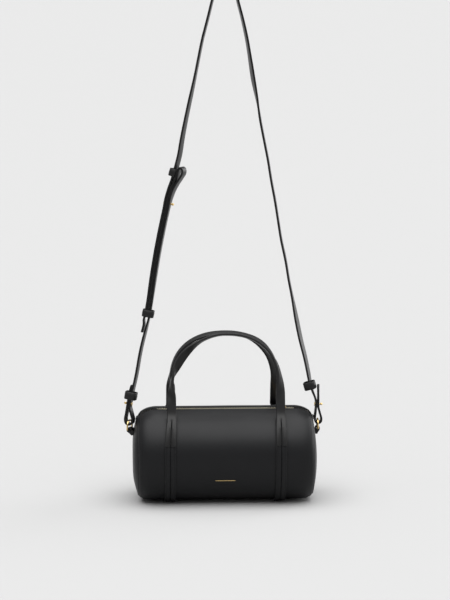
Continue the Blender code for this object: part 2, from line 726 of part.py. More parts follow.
def make_ring(looks, side, word):
    centre, turn = ring_place(side)
    half = RING_PATH_RADIUS
    corner = RING_CORNER
    route = []
    for angle in spread(-math.pi / 2, 0.0, ARC_STEP * 5):
        route.append((half - corner + corner * math.cos(angle), corner * (1 + math.sin(angle))))
    for angle in spread(0.0, math.pi, RING_STEP):
        route.append((half * math.cos(angle), RING_LEG + half * math.sin(angle)))
    for angle in spread(-math.pi, -math.pi / 2, ARC_STEP * 5):
        route.append((corner - half + corner * math.cos(angle), corner * (1 + math.sin(angle))))
    spots = [Vector((0, y, z)) for y, z in route]
    loops = []
    for i, spot in enumerate(spots):
        along = (spots[(i + 1) % len(spots)] - spots[i - 1]).normalized()
        out = Vector((1, 0, 0))
        inward = along.cross(out)
        loop = []
        for k in range(WIRE_SIDES):
            angle = 2 * math.pi * (k + 0.5) / WIRE_SIDES
            loop.append(spot + (out * math.cos(angle) + inward * math.sin(angle)) * RING_WIRE_RADIUS)
        loops.append(loop)
    bm = bmesh.new()
    add_loft(bm, loops, closed=True)
    ring = finish_object("d_ring_" + word, bm, looks["metal"])
    ring.location = centre
    ring.rotation_euler = (0, 0, -turn)


def make_tab(looks, side, word):
    """Leather tab folded round a ring's bar, its two ends sewn to the end panel."""
    centre, turn = ring_place(side)
    low = -TAB_DROP
    seat = dome_reach(side, RING_BAR_RISE + low) + 2 * FIT_GAP + TAB_LEATHER / 2 - abs(centre.x)
    fold = TAB_FOLD_RADIUS
    bend, waist = low * TAB_BEND_SHARE, low * TAB_WAIST_SHARE
    route = [(seat, low), (seat + (-fold - seat) * (1 - TAB_INNER_SHARE), bend), (-fold, waist)]
    for angle in spread(math.pi, 0.0, ARC_STEP * 4):
        route.append((fold * math.cos(angle), fold * math.sin(angle)))
    outer = seat + TAB_LEATHER + FIT_GAP
    route += [(fold * TAB_NIP_SHARE, waist), (fold + (outer - fold) * TAB_BEND_SHARE, bend), (outer, low)]
    half = TAB_WIDTH / 2
    loops = []
    for i, (reach, rise) in enumerate(route):
        before = route[max(i - 1, 0)]
        after = route[min(i + 1, len(route) - 1)]
        along = Vector((after[0] - before[0], 0, after[1] - before[1])).normalized()
        out = Vector((-along.z, 0, along.x)) * TAB_LEATHER / 2
        spot = Vector((reach, 0, rise))
        loop = []
        for y, sign in ((-half, 1), (half, 1), (half, -1), (-half, -1)):
            point = spot + out * sign
            swing = Matrix.Rotation(-turn * ease(1 + rise / TAB_DROP) * side, 3, "Z")
            point = swing @ Vector((point.x, y, point.z))
            loop.append(centre + Vector((side * point.x, point.y, point.z)))
        loops.append(loop)
    bm = bmesh.new()
    add_loft(bm, loops)
    finish_object("ring_tab_" + word, bm, looks["leather"])


# Shoulder strap
def ring_hole(side):
    """Centre of a ring's round part, where the strap's end loop hangs and turns."""
    centre, _ = ring_place(side)
    return centre + Vector((0, 0, RING_LEG))


def place_share(shares):
    """Strap places (x, z) from shares of the ring's distance and of the strap's rise."""
    spots = []
    for across, rise in shares:
        hole = ring_hole(-1 if across < 0 else 1)
        spots.append(Vector((abs(hole.x) * across, hole.z + STRAP_RISE * rise)))
    return spots


def smooth_route(spots):
    """A smooth curve through the spots, thinned where it runs straight."""
    before_first = spots[0] + (spots[0] - spots[1])
    after_last = spots[-1] + (spots[-1] - spots[-2])
    ends = [before_first, *spots, after_last]
    fine = []
    for a, b, c, d in zip(ends, ends[1:], ends[2:], ends[3:]):
        before, span, after = (b - a).length, (c - b).length, (d - c).length
        leave = ((b - a) * span / before + (c - b) * before / span) * span / (before + span)
        arrive = ((c - b) * after / span + (d - c) * span / after) * span / (span + after)
        for i in range(ROUTE_STEPS):
            t = i / ROUTE_STEPS
            h1, h2 = 2 * t**3 - 3 * t**2 + 1, t**3 - 2 * t**2 + t
            h3, h4 = 3 * t**2 - 2 * t**3, t**3 - t**2
            fine.append(b * h1 + leave * h2 + c * h3 + arrive * h4)
    fine.append(spots[-1])
    kept = [fine[0]]
    for i in range(1, len(fine) - 1):
        here = fine[i] - kept[-1]
        ahead = fine[i + 1] - fine[i]
        if here.length > ROUTE_REACH or here.angle(ahead) > ROUTE_TURN:
            kept.append(fine[i])
    return kept + [fine[-1]]


def beside(spots, offset):
    """The same run moved sideways, to the right of its upward direction."""
    moved = []
    for i, spot in enumerate(spots):
        along = (spots[min(i + 1, len(spots) - 1)] - spots[max(i - 1, 0)]).normalized()
        moved.append(spot + Vector((along.y, -along.x)) * offset)
    return moved


def share_height(share):
    return ring_hole(-1).z + STRAP_RISE * share


def crossing(route, height):
    """Where a run first passes a height."""
    for low, high in zip(route, route[1:]):
        if min(low.y, high.y) <= height <= max(low.y, high.y) and low.y != high.y:
            return low.lerp(high, (height - low.y) / (high.y - low.y))
    return min(route, key=lambda spot: abs(spot.y - height))


def part_of(line, low, high):
    """The part of an upward line between two shares of the strap's rise."""
    floor, ceiling = share_height(low), share_height(high)
    inside = [spot for spot in line if floor + FIT_GAP < spot.y < ceiling - FIT_GAP]
    return [crossing(line, floor), *inside, crossing(line, ceiling)]


def left_line():
    """Middle line of the layers on the left, from the loop's stud to the top of the stack."""
    return smooth_route(place_share(LEFT_LINE_SHARES))


def stud_foot(side):
    """Middle of the two layers where a loop's stud holds them, and their upward direction."""
    if side < 0:
        line = left_line()
        return line[0], (line[1] - line[0]).normalized()
    spot = place_share([(STUD_RIGHT_LEAN_SHARE, STUD_RIGHT_SHARE)])[0]
    return spot, Vector((0, 1))


def loop_seat(side):
    """Centre and centreline radius of the round bottom of a strap's end loop."""
    hole = ring_hole(side)
    half_gap = LOOP_HALF_GAP_LEFT if side < 0 else LOOP_HALF_GAP_RIGHT
    shift = 0.0 if side < 0 else LOOP_SHIFT_RIGHT
    radius = half_gap + STRAP_THICKNESS / 2
    return Vector((hole.x + shift, hole.z + LOOP_SEAT + radius)), radius


def end_loop(side):
    """Round the ring: from the outer layer at the stud, down, under and up the inner one."""
    seat, radius = loop_seat(side)
    foot, along = stud_foot(side)
    across = Vector((along.y, -along.x)) * side
    half = LAYER_PITCH / 2
    level = foot - along * STUD_FLANGE
    waist = level.lerp(seat, LOOP_WAIST_SHARE)
    spots = [foot + across * half, level + across * half, waist + across * (half + radius) / 2]
    for angle in spread(0.0, math.pi, math.pi / 6):
        spots.append(seat + Vector((side * math.cos(angle), -math.sin(angle))) * radius)
    spots += [waist - across * (half + radius) / 2, level - across * half, foot - across * half]
    return spots


def turn_at(side, height):
    """Turn of the strap about the upright at a height, clockwise from above."""
    share = (height - ring_hole(side).z) / STRAP_RISE
    return read_table(TURN_LEFT_SHARES if side < 0 else TURN_RIGHT_SHARES, share)


def axis_at(side, height):
    """Where the strap's middle line stands at a height, about which it is turned."""
    if side < 0:
        shares = [(-1.0, 0.0)] + LEFT_LINE_SHARES + LONG_LEFT_SHARES[3:] + TOP_BEND_SHARES[1:2]
    else:
        shares = [(1.0, 0.0), (STUD_RIGHT_LEAN_SHARE, STUD_RIGHT_SHARE)]
        shares += LONG_RIGHT_SHARES[::-1] + TOP_BEND_SHARES[1:2]
    return crossing(place_share(shares), height).x


def turned_point(point, side):
    """Turns one point of the strap about the strap's own middle line."""
    axis = Vector((axis_at(side, point.z), ring_hole(side).y, 0))
    swing = Matrix.Rotation(-turn_at(side, point.z), 3, "Z")
    return axis + swing @ (point - axis)


def turned_frame(side, low, high):
    """Axes and middle of a piece held between two spots: through the strap, across, along."""
    ends = [turned_point(Vector((spot.x, ring_hole(side).y, spot.y)), side) for spot in (low, high)]
    middle = (ends[0] + ends[1]) / 2
    run = (ends[1] - ends[0]).normalized()
    across = Matrix.Rotation(-turn_at(side, middle.z), 3, "Z") @ Vector((0, 1, 0))
    through = across.cross(run).normalized()
    return Matrix((through, run.cross(through), run)).transposed().to_4x4(), middle


def ribbon(name, look, spots):
    """A flat strap along a route in the upright plane of the rings, then turned in place."""
    half_width, half = STRAP_WIDTH / 2, STRAP_THICKNESS / 2
    loops = []
    for i, spot in enumerate(spots):
        before = spots[max(i - 1, 0)]
        after = spots[min(i + 1, len(spots) - 1)]
        into = (spot - before).normalized() if i else (after - spot).normalized()
        out = (after - spot).normalized() if i < len(spots) - 1 else into
        along = (into + out).normalized()
        mitre = half / max(along.dot(into), MITRE_LEAST_SHARE)
        off = Vector((along.y, 0, -along.x)) * mitre
        side = -1 if spot.x < 0 else 1
        centre = Vector((spot.x, ring_hole(side).y, spot.y))
        loop = []
        for y, sign in ((-half_width, 1), (half_width, 1), (half_width, -1), (-half_width, -1)):
            loop.append(turned_point(centre + off * sign + Vector((0, y, 0)), side))
        loops.append(loop)
    bm = bmesh.new()
    add_loft(bm, loops)
    return finish_object(name, bm, look)


def stud_places():
    """For each stud: name, side, middle of its layers, run of the strap, layers, outward sign."""
    places = []
    for side, word in ((-1, "left"), (1, "right")):
        foot, along = stud_foot(side)
        places.append((word, side, foot, along, 2, side))
    stack = part_of(left_line(), STACK_LOW_SHARE, STACK_TOP_SHARE)
    spot = crossing(stack, share_height(STUD_ADJUSTER_SHARE))
    places.append(("adjuster", -1, spot, stack[-1] - stack[-2], 3, 1))
    return places


def short_route():
    """From the tail on the left, round the ring, up, over at the adjuster and back inside it."""
    half = LAYER_PITCH / 2
    line = left_line()
    pair = part_of(line, STUD_LEFT_SHARE, TIP_SHARE)
    alone = part_of(line, TIP_SHARE, STACK_LOW_SHARE)
    stack = part_of(line, STACK_LOW_SHARE, STACK_TOP_SHARE)
    spots = beside(pair, -half)[::-1] + end_loop(-1)[1:-1] + beside(pair, half)
    for i, spot in enumerate(alone[1:-1], 1):
        offset = half + half * ease(i / (len(alone) - 1))
        spots.append(beside(alone[i - 1 : i + 2], offset)[1])
    inside = part_of(line, INSIDE_END_SHARE, STACK_TOP_SHARE)
    spots += beside(stack, LAYER_PITCH) + place_share(FOLD_SHARES) + inside[::-1]
    return smooth_route(spots)


def long_route():
    """From the tail in the stack, up the left, over the top, down the right and round its ring."""
    half = LAYER_PITCH / 2
    stack = part_of(left_line(), STACK_LOW_SHARE, STACK_TOP_SHARE)
    spots = place_share(TAIL_LEFT_SHARES) + beside(stack, -LAYER_PITCH) + place_share(LONG_LEFT_SHARES)
    spots += place_share(TOP_BEND_SHARES) + place_share(LONG_RIGHT_SHARES)
    foot, along = stud_foot(1)
    clear = along * STUD_FLANGE
    spots += [foot + clear - Vector((half, 0))] + end_loop(1)[::-1]
    tip = Vector((foot.x + half, share_height(TIP_SHARE)))
    spots += [foot + clear + Vector((half, 0)), tip]
    return smooth_route(spots)


def make_strap(looks):
    short = ribbon("strap_short", looks["leather"], short_route())
    long = ribbon("strap_long", looks["leather"], long_route())
    bm = bmesh.new()
    reach = 3 * LAYER_PITCH
    drill = STUD_SHANK + STUD_HOLE_SLACK
    for _, side, spot, along, _, _ in stud_places():
        step = along.normalized() * STUD_FLANGE
        turn, middle = turned_frame(side, spot - step, spot + step)
        seen = len(bm.verts)
        add_turned(bm, [(drill, -reach), (drill, reach)], STUD_SIDES)
        bm.verts.ensure_lookup_table()
        stand = Matrix.Translation(middle) @ turn @ Matrix.Rotation(math.pi / 2, 4, "Y")
        bmesh.ops.transform(bm, matrix=stand, verts=bm.verts[seen:])
    drills = finish_object("stud_hole_guide", bm, looks["metal"])
    cut_with(short, drills)
    cut_with(long, drills)


def make_studs(looks):
    for word, side, spot, along, layers, sign in stud_places():
        step = along.normalized() * STUD_FLANGE
        turn, middle = turned_frame(side, spot - step, spot + step)
        face = (layers * LAYER_PITCH + FIT_GAP) / 2
        shank = face + STUD_NECK / 2
        flange = -face - STUD_FLANGE_THICKNESS
        base = [(STUD_FLANGE, flange), (STUD_FLANGE, -face), (STUD_SHANK, -face), (STUD_SHANK, shank)]
        low = shank + FIT_GAP
        head = [(STUD_SHANK, low)]
        for angle in spread(-math.pi / 3, math.pi / 2.4, math.pi / 6):
            radius = STUD_BALL * math.cos(angle)
            head.append((radius, low + STUD_NECK / 2 + STUD_BALL * (1 + math.sin(angle))))
        flip = Matrix.Rotation(math.pi / 2 * sign, 4, "Y")
        stand = Matrix.Translation(middle) @ turn @ flip
        for name, profile in (("stud_base_" + word, base), ("stud_head_" + word, head)):
            bm = bmesh.new()
            add_turned(bm, profile, STUD_SIDES)
            stud = finish_object(name, bm, looks["metal"])
            stud.matrix_world = stand


def round_section(width, depth, corner):
    """Outline of a sleeve as (across, up) points, with round corners."""
    w, d = width / 2 - corner, depth / 2 - corner
    points = []
    for x, y, start in ((w, d, 0.0), (-w, d, math.pi / 2), (-w, -d, math.pi), (w, -d, -math.pi / 2)):
        for turn in spread(start, start + math.pi / 2, math.pi / 6):
            points.append((x + corner * math.cos(turn), y + corner * math.sin(turn)))
    return points


def keeper_places():
    """For each keeper: name, side, run that it holds, share of the rise, breadth and sideways shift."""
    left = left_line()
    long = long_route()
    right = [spot for spot in long if spot.x > 0]
    return [
        ("keeper_left", -1, left, KEEPER_LEFT_SHARE, KEEPER_BREADTH, 0.0),
        ("keeper_low", -1, left, KEEPER_LOW_SHARE, KEEPER_BREADTH, 0.0),
        ("keeper_upper", -1, long, KEEPER_UPPER_SHARE, KEEPER_BREADTH_UPPER, -KEEPER_SHIFT_UPPER),
        ("keeper_right", 1, right, KEEPER_RIGHT_SHARE, KEEPER_BREADTH, -KEEPER_SHIFT_RIGHT),
    ]


def make_keepers(looks):
    for name, side, run, share, breadth, shift in keeper_places():
        low = crossing(run, share_height(share) - KEEPER_HEIGHT / 2)
        high = crossing(run, share_height(share) + KEEPER_HEIGHT / 2)
        turn, middle = turned_frame(side, low, high)
        middle = middle + turn.to_3x3() @ Vector((shift, 0, 0))
        depth = STRAP_WIDTH + 2 * (KEEPER_SLACK + KEEPER_WALL)
        corner = breadth * KEEPER_CORNER_SHARE
        outer = round_section(depth, breadth, corner)
        inner = round_section(depth - 2 * KEEPER_WALL, breadth - 2 * KEEPER_WALL, corner - KEEPER_WALL)
        levels = (-KEEPER_HEIGHT / 2, KEEPER_HEIGHT / 2)
        bm = bmesh.new()
        add_sleeve(
            bm,
            [[Vector((b, a, z)) for a, b in outer] for z in levels],
            [[Vector((b, a, z)) for a, b in inner] for z in levels],
        )
        keeper = finish_object(name, bm, looks["leather"])
        keeper.matrix_world = Matrix.Translation(middle) @ turn


def main():
    clear_scene()
    looks = {
        "leather": material("black_leather", (0.020, 0.020, 0.022), 0.48),
        "lining": material("lining_fabric", (0.055, 0.052, 0.050), 0.9),
        "tape": material("zip_tape", (0.016, 0.016, 0.017), 0.85),
        "board": material("fibre_board", (0.25, 0.20, 0.14), 0.9),
        "metal": material("gold_metal", (0.80, 0.58, 0.27), 0.25, 1.0),
    }
    make_panels(looks)
    make_inside(looks)
    make_zip(looks)
    make_slider(looks)
    make_wraps(looks)
    make_handle(looks, "front", 1)
    make_handle(looks, "rear", -1)
    for side, word in ((-1, "left"), (1, "right")):
        make_ring(looks, side, word)
        make_tab(looks, side, word)
    make_strap(looks)
    make_studs(looks)
    make_keepers(looks)


main()
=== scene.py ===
import math

import bmesh
import bpy
from mathutils import Matrix, Vector, noise


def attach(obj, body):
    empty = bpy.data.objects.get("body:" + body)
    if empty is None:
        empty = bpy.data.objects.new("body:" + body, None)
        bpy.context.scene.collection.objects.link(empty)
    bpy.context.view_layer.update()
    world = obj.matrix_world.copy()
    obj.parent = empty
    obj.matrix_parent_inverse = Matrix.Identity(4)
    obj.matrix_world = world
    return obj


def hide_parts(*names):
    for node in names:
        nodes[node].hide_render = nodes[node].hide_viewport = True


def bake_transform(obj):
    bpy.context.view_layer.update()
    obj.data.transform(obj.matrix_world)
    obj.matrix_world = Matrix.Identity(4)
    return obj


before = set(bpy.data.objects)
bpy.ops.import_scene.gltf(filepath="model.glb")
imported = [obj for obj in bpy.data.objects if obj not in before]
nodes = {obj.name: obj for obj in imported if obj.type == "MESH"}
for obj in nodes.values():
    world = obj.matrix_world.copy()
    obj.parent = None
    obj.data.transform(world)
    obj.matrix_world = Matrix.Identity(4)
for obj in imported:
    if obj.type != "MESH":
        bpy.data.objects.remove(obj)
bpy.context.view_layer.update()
sides = ((-1, "Left"), (1, "Right"))
hands = ((1, "Front"), (-1, "Rear"))


def addObject(name, data):
    made = bpy.data.objects.new(name, data)
    bpy.context.scene.collection.objects.link(made)
    return made


# The camera, the floor and the lights
cameraSetup = {
    "place": (-0.13679, -3.13307, 0.72739),
    "pitchDown": 8.462,
    "heading": -2.5,
    "lens": 147.69,
    "sensor": 36,
}

# Softboxes far away: how high, how far round to the right of the camera, half their width, brightness
lightSetup = {
    "overhead": {"height": 80, "round": 0, "half": 40, "bright": 4.05},
    "rightBack": {"height": 12, "round": 115, "half": 28, "bright": 2.5},
}

stageSetup = {
    "worldGrey": 0.36,
    "floorGrey": 0.388,
    "floorRoughness": 0.9,
    "floorShine": 0.1,
    "floorHalf": 60.0,
}


def makeCamera():
    data = bpy.data.cameras.new("photoCamera")
    data.lens = cameraSetup["lens"]
    data.sensor_width = cameraSetup["sensor"]
    camera = addObject("photoCamera", data)
    camera.location = cameraSetup["place"]
    turn = (math.radians(90 - cameraSetup["pitchDown"]), 0, math.radians(cameraSetup["heading"]))
    camera.rotation_euler = turn
    bpy.context.scene.camera = camera


def makeLights():
    for name, setup in lightSetup.items():
        half = math.radians(setup["half"])
        data = bpy.data.lights.new(name + "Softbox", "SUN")
        data.angle = 2 * half
        data.energy = setup["bright"] * math.pi * math.sin(half) ** 2
        light = addObject(name + "Softbox", data)
        light.rotation_euler = (math.radians(90 - setup["height"]), 0, math.radians(setup["round"]))
    world = bpy.data.worlds.new("studio")
    world.use_nodes = True
    grey = stageSetup["worldGrey"]
    world.node_tree.nodes["Background"].inputs["Color"].default_value = (grey, grey, grey, 1)
    bpy.context.scene.world = world
    bpy.context.scene.view_settings.view_transform = "Standard"


def makeFloor():
    half, grey = stageSetup["floorHalf"], stageSetup["floorGrey"]
    corners = [(-half, -half, 0.0), (half, -half, 0.0), (half, half, 0.0), (-half, half, 0.0)]
    mesh = bpy.data.meshes.new("studioFloor")
    mesh.from_pydata(corners, [], [(0, 1, 2, 3)])
    floor = addObject("studioFloor", mesh)
    paint = bpy.data.materials.new("palePaper")
    paint.use_nodes = True
    shader = paint.node_tree.nodes["Principled BSDF"]
    shader.inputs["Base Color"].default_value = (grey, grey, grey, 1)
    shader.inputs["Roughness"].default_value = stageSetup["floorRoughness"]
    shader.inputs["Specular IOR Level"].default_value = stageSetup["floorShine"]
    mesh.materials.append(paint)


makeCamera()
makeFloor()
makeLights()
print("camera, floor and lights")


# Node trees for shaders and geometry: an output is linked to its socket, a value is set on it
def setInputs(tree, node, inputs):
    for label, value in inputs.items():
        if isinstance(value, bpy.types.NodeSocket):
            tree.links.new(value, node.inputs[label])
        else:
            node.inputs[label].default_value = value


def addNode(tree, kind, inputs, **settings):
    node = tree.nodes.new(kind)
    for label, value in settings.items():
        setattr(node, label, value)
    setInputs(tree, node, inputs)
    return node


def newTree(kind, name, inputs, outputs):
    tree = bpy.data.node_groups.new(name, kind)
    for way, sockets in (("INPUT", inputs), ("OUTPUT", outputs)):
        for label, sort, *value in sockets:
            socket = tree.interface.new_socket(name=label, in_out=way, socket_type="NodeSocket" + sort)
            if value:
                socket.default_value = value[0]
    return tree, tree.nodes.new("NodeGroupInput").outputs, tree.nodes.new("NodeGroupOutput")


def addMath(tree, operation, *values, clamp=False):
    node = addNode(tree, "ShaderNodeMath", dict(enumerate(values)), operation=operation, use_clamp=clamp)
    return node.outputs[0]


def addSum(tree, a, shareA, b, shareB):
    return addMath(tree, "ADD", addMath(tree, "MULTIPLY", a, shareA), addMath(tree, "MULTIPLY", b, shareB))


def addNoise(tree, vector, scale, detail=2.0, roughness=0.5):
    inputs = {"Vector": vector, "Scale": scale, "Detail": detail, "Roughness": roughness}
    return addNode(tree, "ShaderNodeTexNoise", inputs).outputs["Fac"]


grainSizes = {
    "warpScale": 420,
    "warpReach": 0.0006,
    "smoothness": 0.35,
    "fineScale": 3200,
    "cloudScale": 22.0,
    "pebbleHeightShare": 0.8,
    "fineHeightShare": 0.3,
    "cloudToneShare": 0.75,
    "pebbleToneShare": 0.25,
}


def makeGrainGroup():  # the fine pebble of finished calf leather
    g = grainSizes
    group, start, end = newTree("ShaderNodeTree", "leatherGrain", [
        ("Vector", "Vector"), ("Scale", "Float", 1300.0), ("Cloud", "Float", g["cloudScale"]),
    ], [("Height", "Float"), ("Tone", "Float")])
    place = start["Vector"]
    soft = addNode(group, "ShaderNodeTexNoise", {"Vector": place, "Scale": g["warpScale"]})
    warp = addNode(group, "ShaderNodeVectorMath", {0: soft.outputs["Color"], "Scale": g["warpReach"]},
                   operation="SCALE")
    moved = addNode(group, "ShaderNodeVectorMath", {0: place, 1: warp.outputs[0]})
    cells = addNode(group, "ShaderNodeTexVoronoi", {
        "Vector": moved.outputs[0], "Scale": start["Scale"], "Smoothness": g["smoothness"],
    }, feature="SMOOTH_F1")
    pebble = addMath(group, "SUBTRACT", 1.0, cells.outputs["Distance"], clamp=True)
    fine = addNoise(group, place, g["fineScale"], 3)
    cloud = addNoise(group, place, start["Cloud"], 4, 0.6)
    setInputs(group, end, {
        "Height": addSum(group, pebble, g["pebbleHeightShare"], fine, g["fineHeightShare"]),
        "Tone": addSum(group, cloud, g["cloudToneShare"], pebble, g["pebbleToneShare"]),
    })
    return group


def makeWearGroup():  # where hands rub: the mesh's own edge attribute, broken up
    floor, gain = 0.35, 2.2
    group, start, end = newTree("ShaderNodeTree", "edgeWear", [
        ("Vector", "Vector"), ("Break", "Float", 260.0),
    ], [("Mask", "Float")])
    edge = addNode(group, "ShaderNodeAttribute", {}, attribute_name="edge").outputs["Fac"]
    patch = addNoise(group, start["Vector"], start["Break"], 3)
    ramp = addMath(group, "MULTIPLY", addMath(group, "SUBTRACT", patch, floor, clamp=True), gain, clamp=True)
    setInputs(group, end, {"Mask": addMath(group, "MULTIPLY", edge, ramp)})
    return group


def makeWeaveGroup():  # two crossing sets of threads under a little dust
    dustScale, threadShare, dustShare = 60, 0.4, 0.6
    group, start, end = newTree("ShaderNodeTree", "plainWeave", [
        ("Vector", "Vector"), ("Threads", "Float", 1400.0),
    ], [("Height", "Float"), ("Tone", "Float")])
    split = addNode(group, "ShaderNodeSeparateXYZ", {0: start["Vector"]}).outputs
    lines = []
    for run in (split["X"], addMath(group, "ADD", split["Y"], split["Z"])):
        turn = addMath(group, "MULTIPLY", run, start["Threads"])
        lines.append(addMath(group, "ABSOLUTE", addMath(group, "SINE", turn)))
    height = addMath(group, "MULTIPLY", *lines)
    dust = addNoise(group, start["Vector"], dustScale, 4)
    setInputs(group, end, {"Height": height, "Tone": addSum(group, height, threadShare, dust, dustShare)})
    return group


groups = {"grain": makeGrainGroup(), "wear": makeWearGroup(), "weave": makeWeaveGroup()}


# Materials, all on Object coordinates
def startMaterial(name):
    made = bpy.data.materials.new(name)
    made.use_nodes = True
    tree = made.node_tree
    place = tree.nodes.new("ShaderNodeTexCoord").outputs["Object"]
    return made, tree, tree.nodes["Principled BSDF"], place


def addGroup(tree, key, place, **values):
    return addNode(tree, "ShaderNodeGroup", {"Vector": place, **values}, node_tree=groups[key]).outputs


def addMix(tree, factor, *colours):
    first, second = [(*c, 1) if isinstance(c, tuple) else c for c in colours]
    inputs = {"Factor": factor, 6: first, 7: second}
    return addNode(tree, "ShaderNodeMix", inputs, data_type="RGBA").outputs[2]


def addRange(tree, value, low, high):
    return addNode(tree, "ShaderNodeMapRange", {"Value": value, "To Min": low, "To Max": high}).outputs[0]


def addBump(tree, height, distance, strength):
    inputs = {"Height": height, "Distance": distance, "Strength": strength}
    return addNode(tree, "ShaderNodeBump", inputs).outputs[0]


# dark, light, worn edge, roughness low and high, grain scale, bump, shine
leatherLooks = {
    "bagLeather": ((0.0042, 0.0044, 0.0050), (0.0072, 0.0074, 0.0084), (0.014, 0.014, 0.015),
                   0.40, 0.52, 1300, 0.30, 0.2),
    "strapLeather": ((0.0042, 0.0042, 0.0044), (0.0068, 0.0068, 0.0070), (0.012, 0.012, 0.012),
                     0.42, 0.55, 1700, 0.25, 0.28),
    "cordLeather": ((0.005, 0.005, 0.0052), (0.008, 0.008, 0.0082), (0.015, 0.015, 0.015),
                    0.30, 0.42, 1700, 0.25, 0.6),
    "paintedEdge": ((0.003, 0.003, 0.0031), (0.005, 0.005, 0.0052), (0.010, 0.010, 0.010),
                    0.33, 0.45, 2400, 0.12, 0.2),
}
# dark, light, threads, bump
fabricLooks = {
    "liningTwill": ((0.035, 0.033, 0.031), (0.075, 0.070, 0.066), 4200, 0.5),
    "zipTape": ((0.008, 0.008, 0.009), (0.020, 0.020, 0.021), 3600, 0.7),
}
# dark, light, roughness
metalLooks = {
    "goldPlate": ((0.72, 0.50, 0.20), (0.90, 0.69, 0.34), 0.17),
    "paleTeeth": ((0.80, 0.74, 0.56), (0.95, 0.91, 0.76), 0.30),
    # the teeth again, with the corners' shade painted into their colour as near-black metal
    "cornerShadeTeeth": ((0.020, 0.018, 0.014), (0.060, 0.054, 0.042), 0.35),
}
# dark, light, noise (scale, detail, roughness), roughness, bump
fleckLooks = {
    "blackThread": ((0.0015, 0.0015, 0.0015), (0.006, 0.006, 0.0065), (2600, 2, 0.5), 0.5, 0.5),
    "fibreBoard": ((0.17, 0.13, 0.09), (0.33, 0.27, 0.19), (700, 5, 0.7), 0.9, 0.4),
}
# How deep each kind of surface is, and what else its shader keeps
surfaceSetup = {
    "leatherDepth": 0.00012,
    "fabricDepth": 0.0002,
    "fabricRoughness": 0.88,
    "fabricSheen": 0.25,
    "metalDepth": 0.00004,
    "metalBump": 0.15,
    "metalSmear": (140, 4, 0.6),
    "metalScratch": (1800, 2),
    "metalDull": 0.16,
    "fleckDepth": 0.0001,
}


def makeLeather(name, dark, light, worn, low, high, scale, bump, shine):
    made, tree, shader, place = startMaterial(name)
    grain, wear = addGroup(tree, "grain", place, Scale=scale), addGroup(tree, "wear", place)
    setInputs(tree, shader, {
        "Base Color": addMix(tree, wear["Mask"], addMix(tree, grain["Tone"], dark, light), worn),
        "Roughness": addRange(tree, grain["Tone"], high, low),
        "Normal": addBump(tree, grain["Height"], surfaceSetup["leatherDepth"], bump),
        "Specular IOR Level": shine,
    })
    return made


def makeFabric(name, dark, light, threads, bump):
    made, tree, shader, place = startMaterial(name)
    weave = addGroup(tree, "weave", place, Threads=threads)
    setInputs(tree, shader, {
        "Base Color": addMix(tree, weave["Tone"], dark, light),
        "Roughness": surfaceSetup["fabricRoughness"],
        "Sheen Weight": surfaceSetup["fabricSheen"],
        "Normal": addBump(tree, weave["Height"], surfaceSetup["fabricDepth"], bump),
    })
    return made


def makeMetal(name, dark, light, rough):
    s = surfaceSetup
    made, tree, shader, place = startMaterial(name)
    smear, scratch = addNoise(tree, place, *s["metalSmear"]), addNoise(tree, place, *s["metalScratch"])
    setInputs(tree, shader, {
        "Base Color": addMix(tree, smear, dark, light),
        "Roughness": addRange(tree, smear, rough, rough + s["metalDull"]),
        "Metallic": 1.0,
        "Normal": addBump(tree, scratch, s["metalDepth"], s["metalBump"]),
    })
    return made


def makeFlecked(name, dark, light, flecks, rough, bump):
    made, tree, shader, place = startMaterial(name)
    fleck = addNoise(tree, place, *flecks)
    setInputs(tree, shader, {
        "Base Color": addMix(tree, fleck, dark, light),
        "Roughness": rough,
        "Normal": addBump(tree, fleck, surfaceSetup["fleckDepth"], bump),
    })
    return made


looks = {}
for maker, table in ((makeLeather, leatherLooks), (makeFabric, fabricLooks), (makeMetal, metalLooks),
                     (makeFlecked, fleckLooks)):
    for lookName, values in table.items():
        looks[lookName] = maker(lookName, *values)
print("materials:", ", ".join(sorted(looks)))


# Shared by all meshes
def spread(first, last, step):
    count = max(1, math.ceil(abs(last - first) / step - 1e-9))
    return [first + (last - first) * i / count for i in range(count + 1)]


def ease(share):
    share = min(max(share, 0.0), 1.0)
    return share * share * (3 - 2 * share)


def readTable(rows, at):  # an eased value between the rows of (place, value)
    if at <= rows[0][0]:
        return rows[0][1]
    for (low, before), (high, after) in zip(rows, rows[1:]):
        if at <= high:
            return before + (after - before) * ease((at - low) / (high - low))
    return rows[-1][1]


def radial(angle):
    return Vector((0, -math.sin(angle), math.cos(angle)))


def neighbours(spots, i):
    return spots[max(i - 1, 0)], spots[min(i + 1, len(spots) - 1)]


def runLengths(spots):
    runs = [0.0]
    for a, b in zip(spots, spots[1:]):
        runs.append(runs[-1] + (b - a).length)
    return runs


def roundSection(width, thick, rim, steps=4):  # a rounded rectangle from its left side on
    w, t = width / 2 - rim, thick / 2 - rim
    points = []
    for cx, cy, start in ((-w, t, 180), (w, t, 90), (w, -t, 0), (-w, -t, -90)):
        for i in range(steps + 1):
            angle = math.radians(start - 90 * i / steps)
            points.append((cx + rim * math.cos(angle), cy + rim * math.sin(angle)))
    return points


def settle(obj, replaces, body, blend=None):
    if blend:
        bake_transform(obj)
    else:
        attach(obj, body)
    if replaces:
        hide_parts(*replaces)


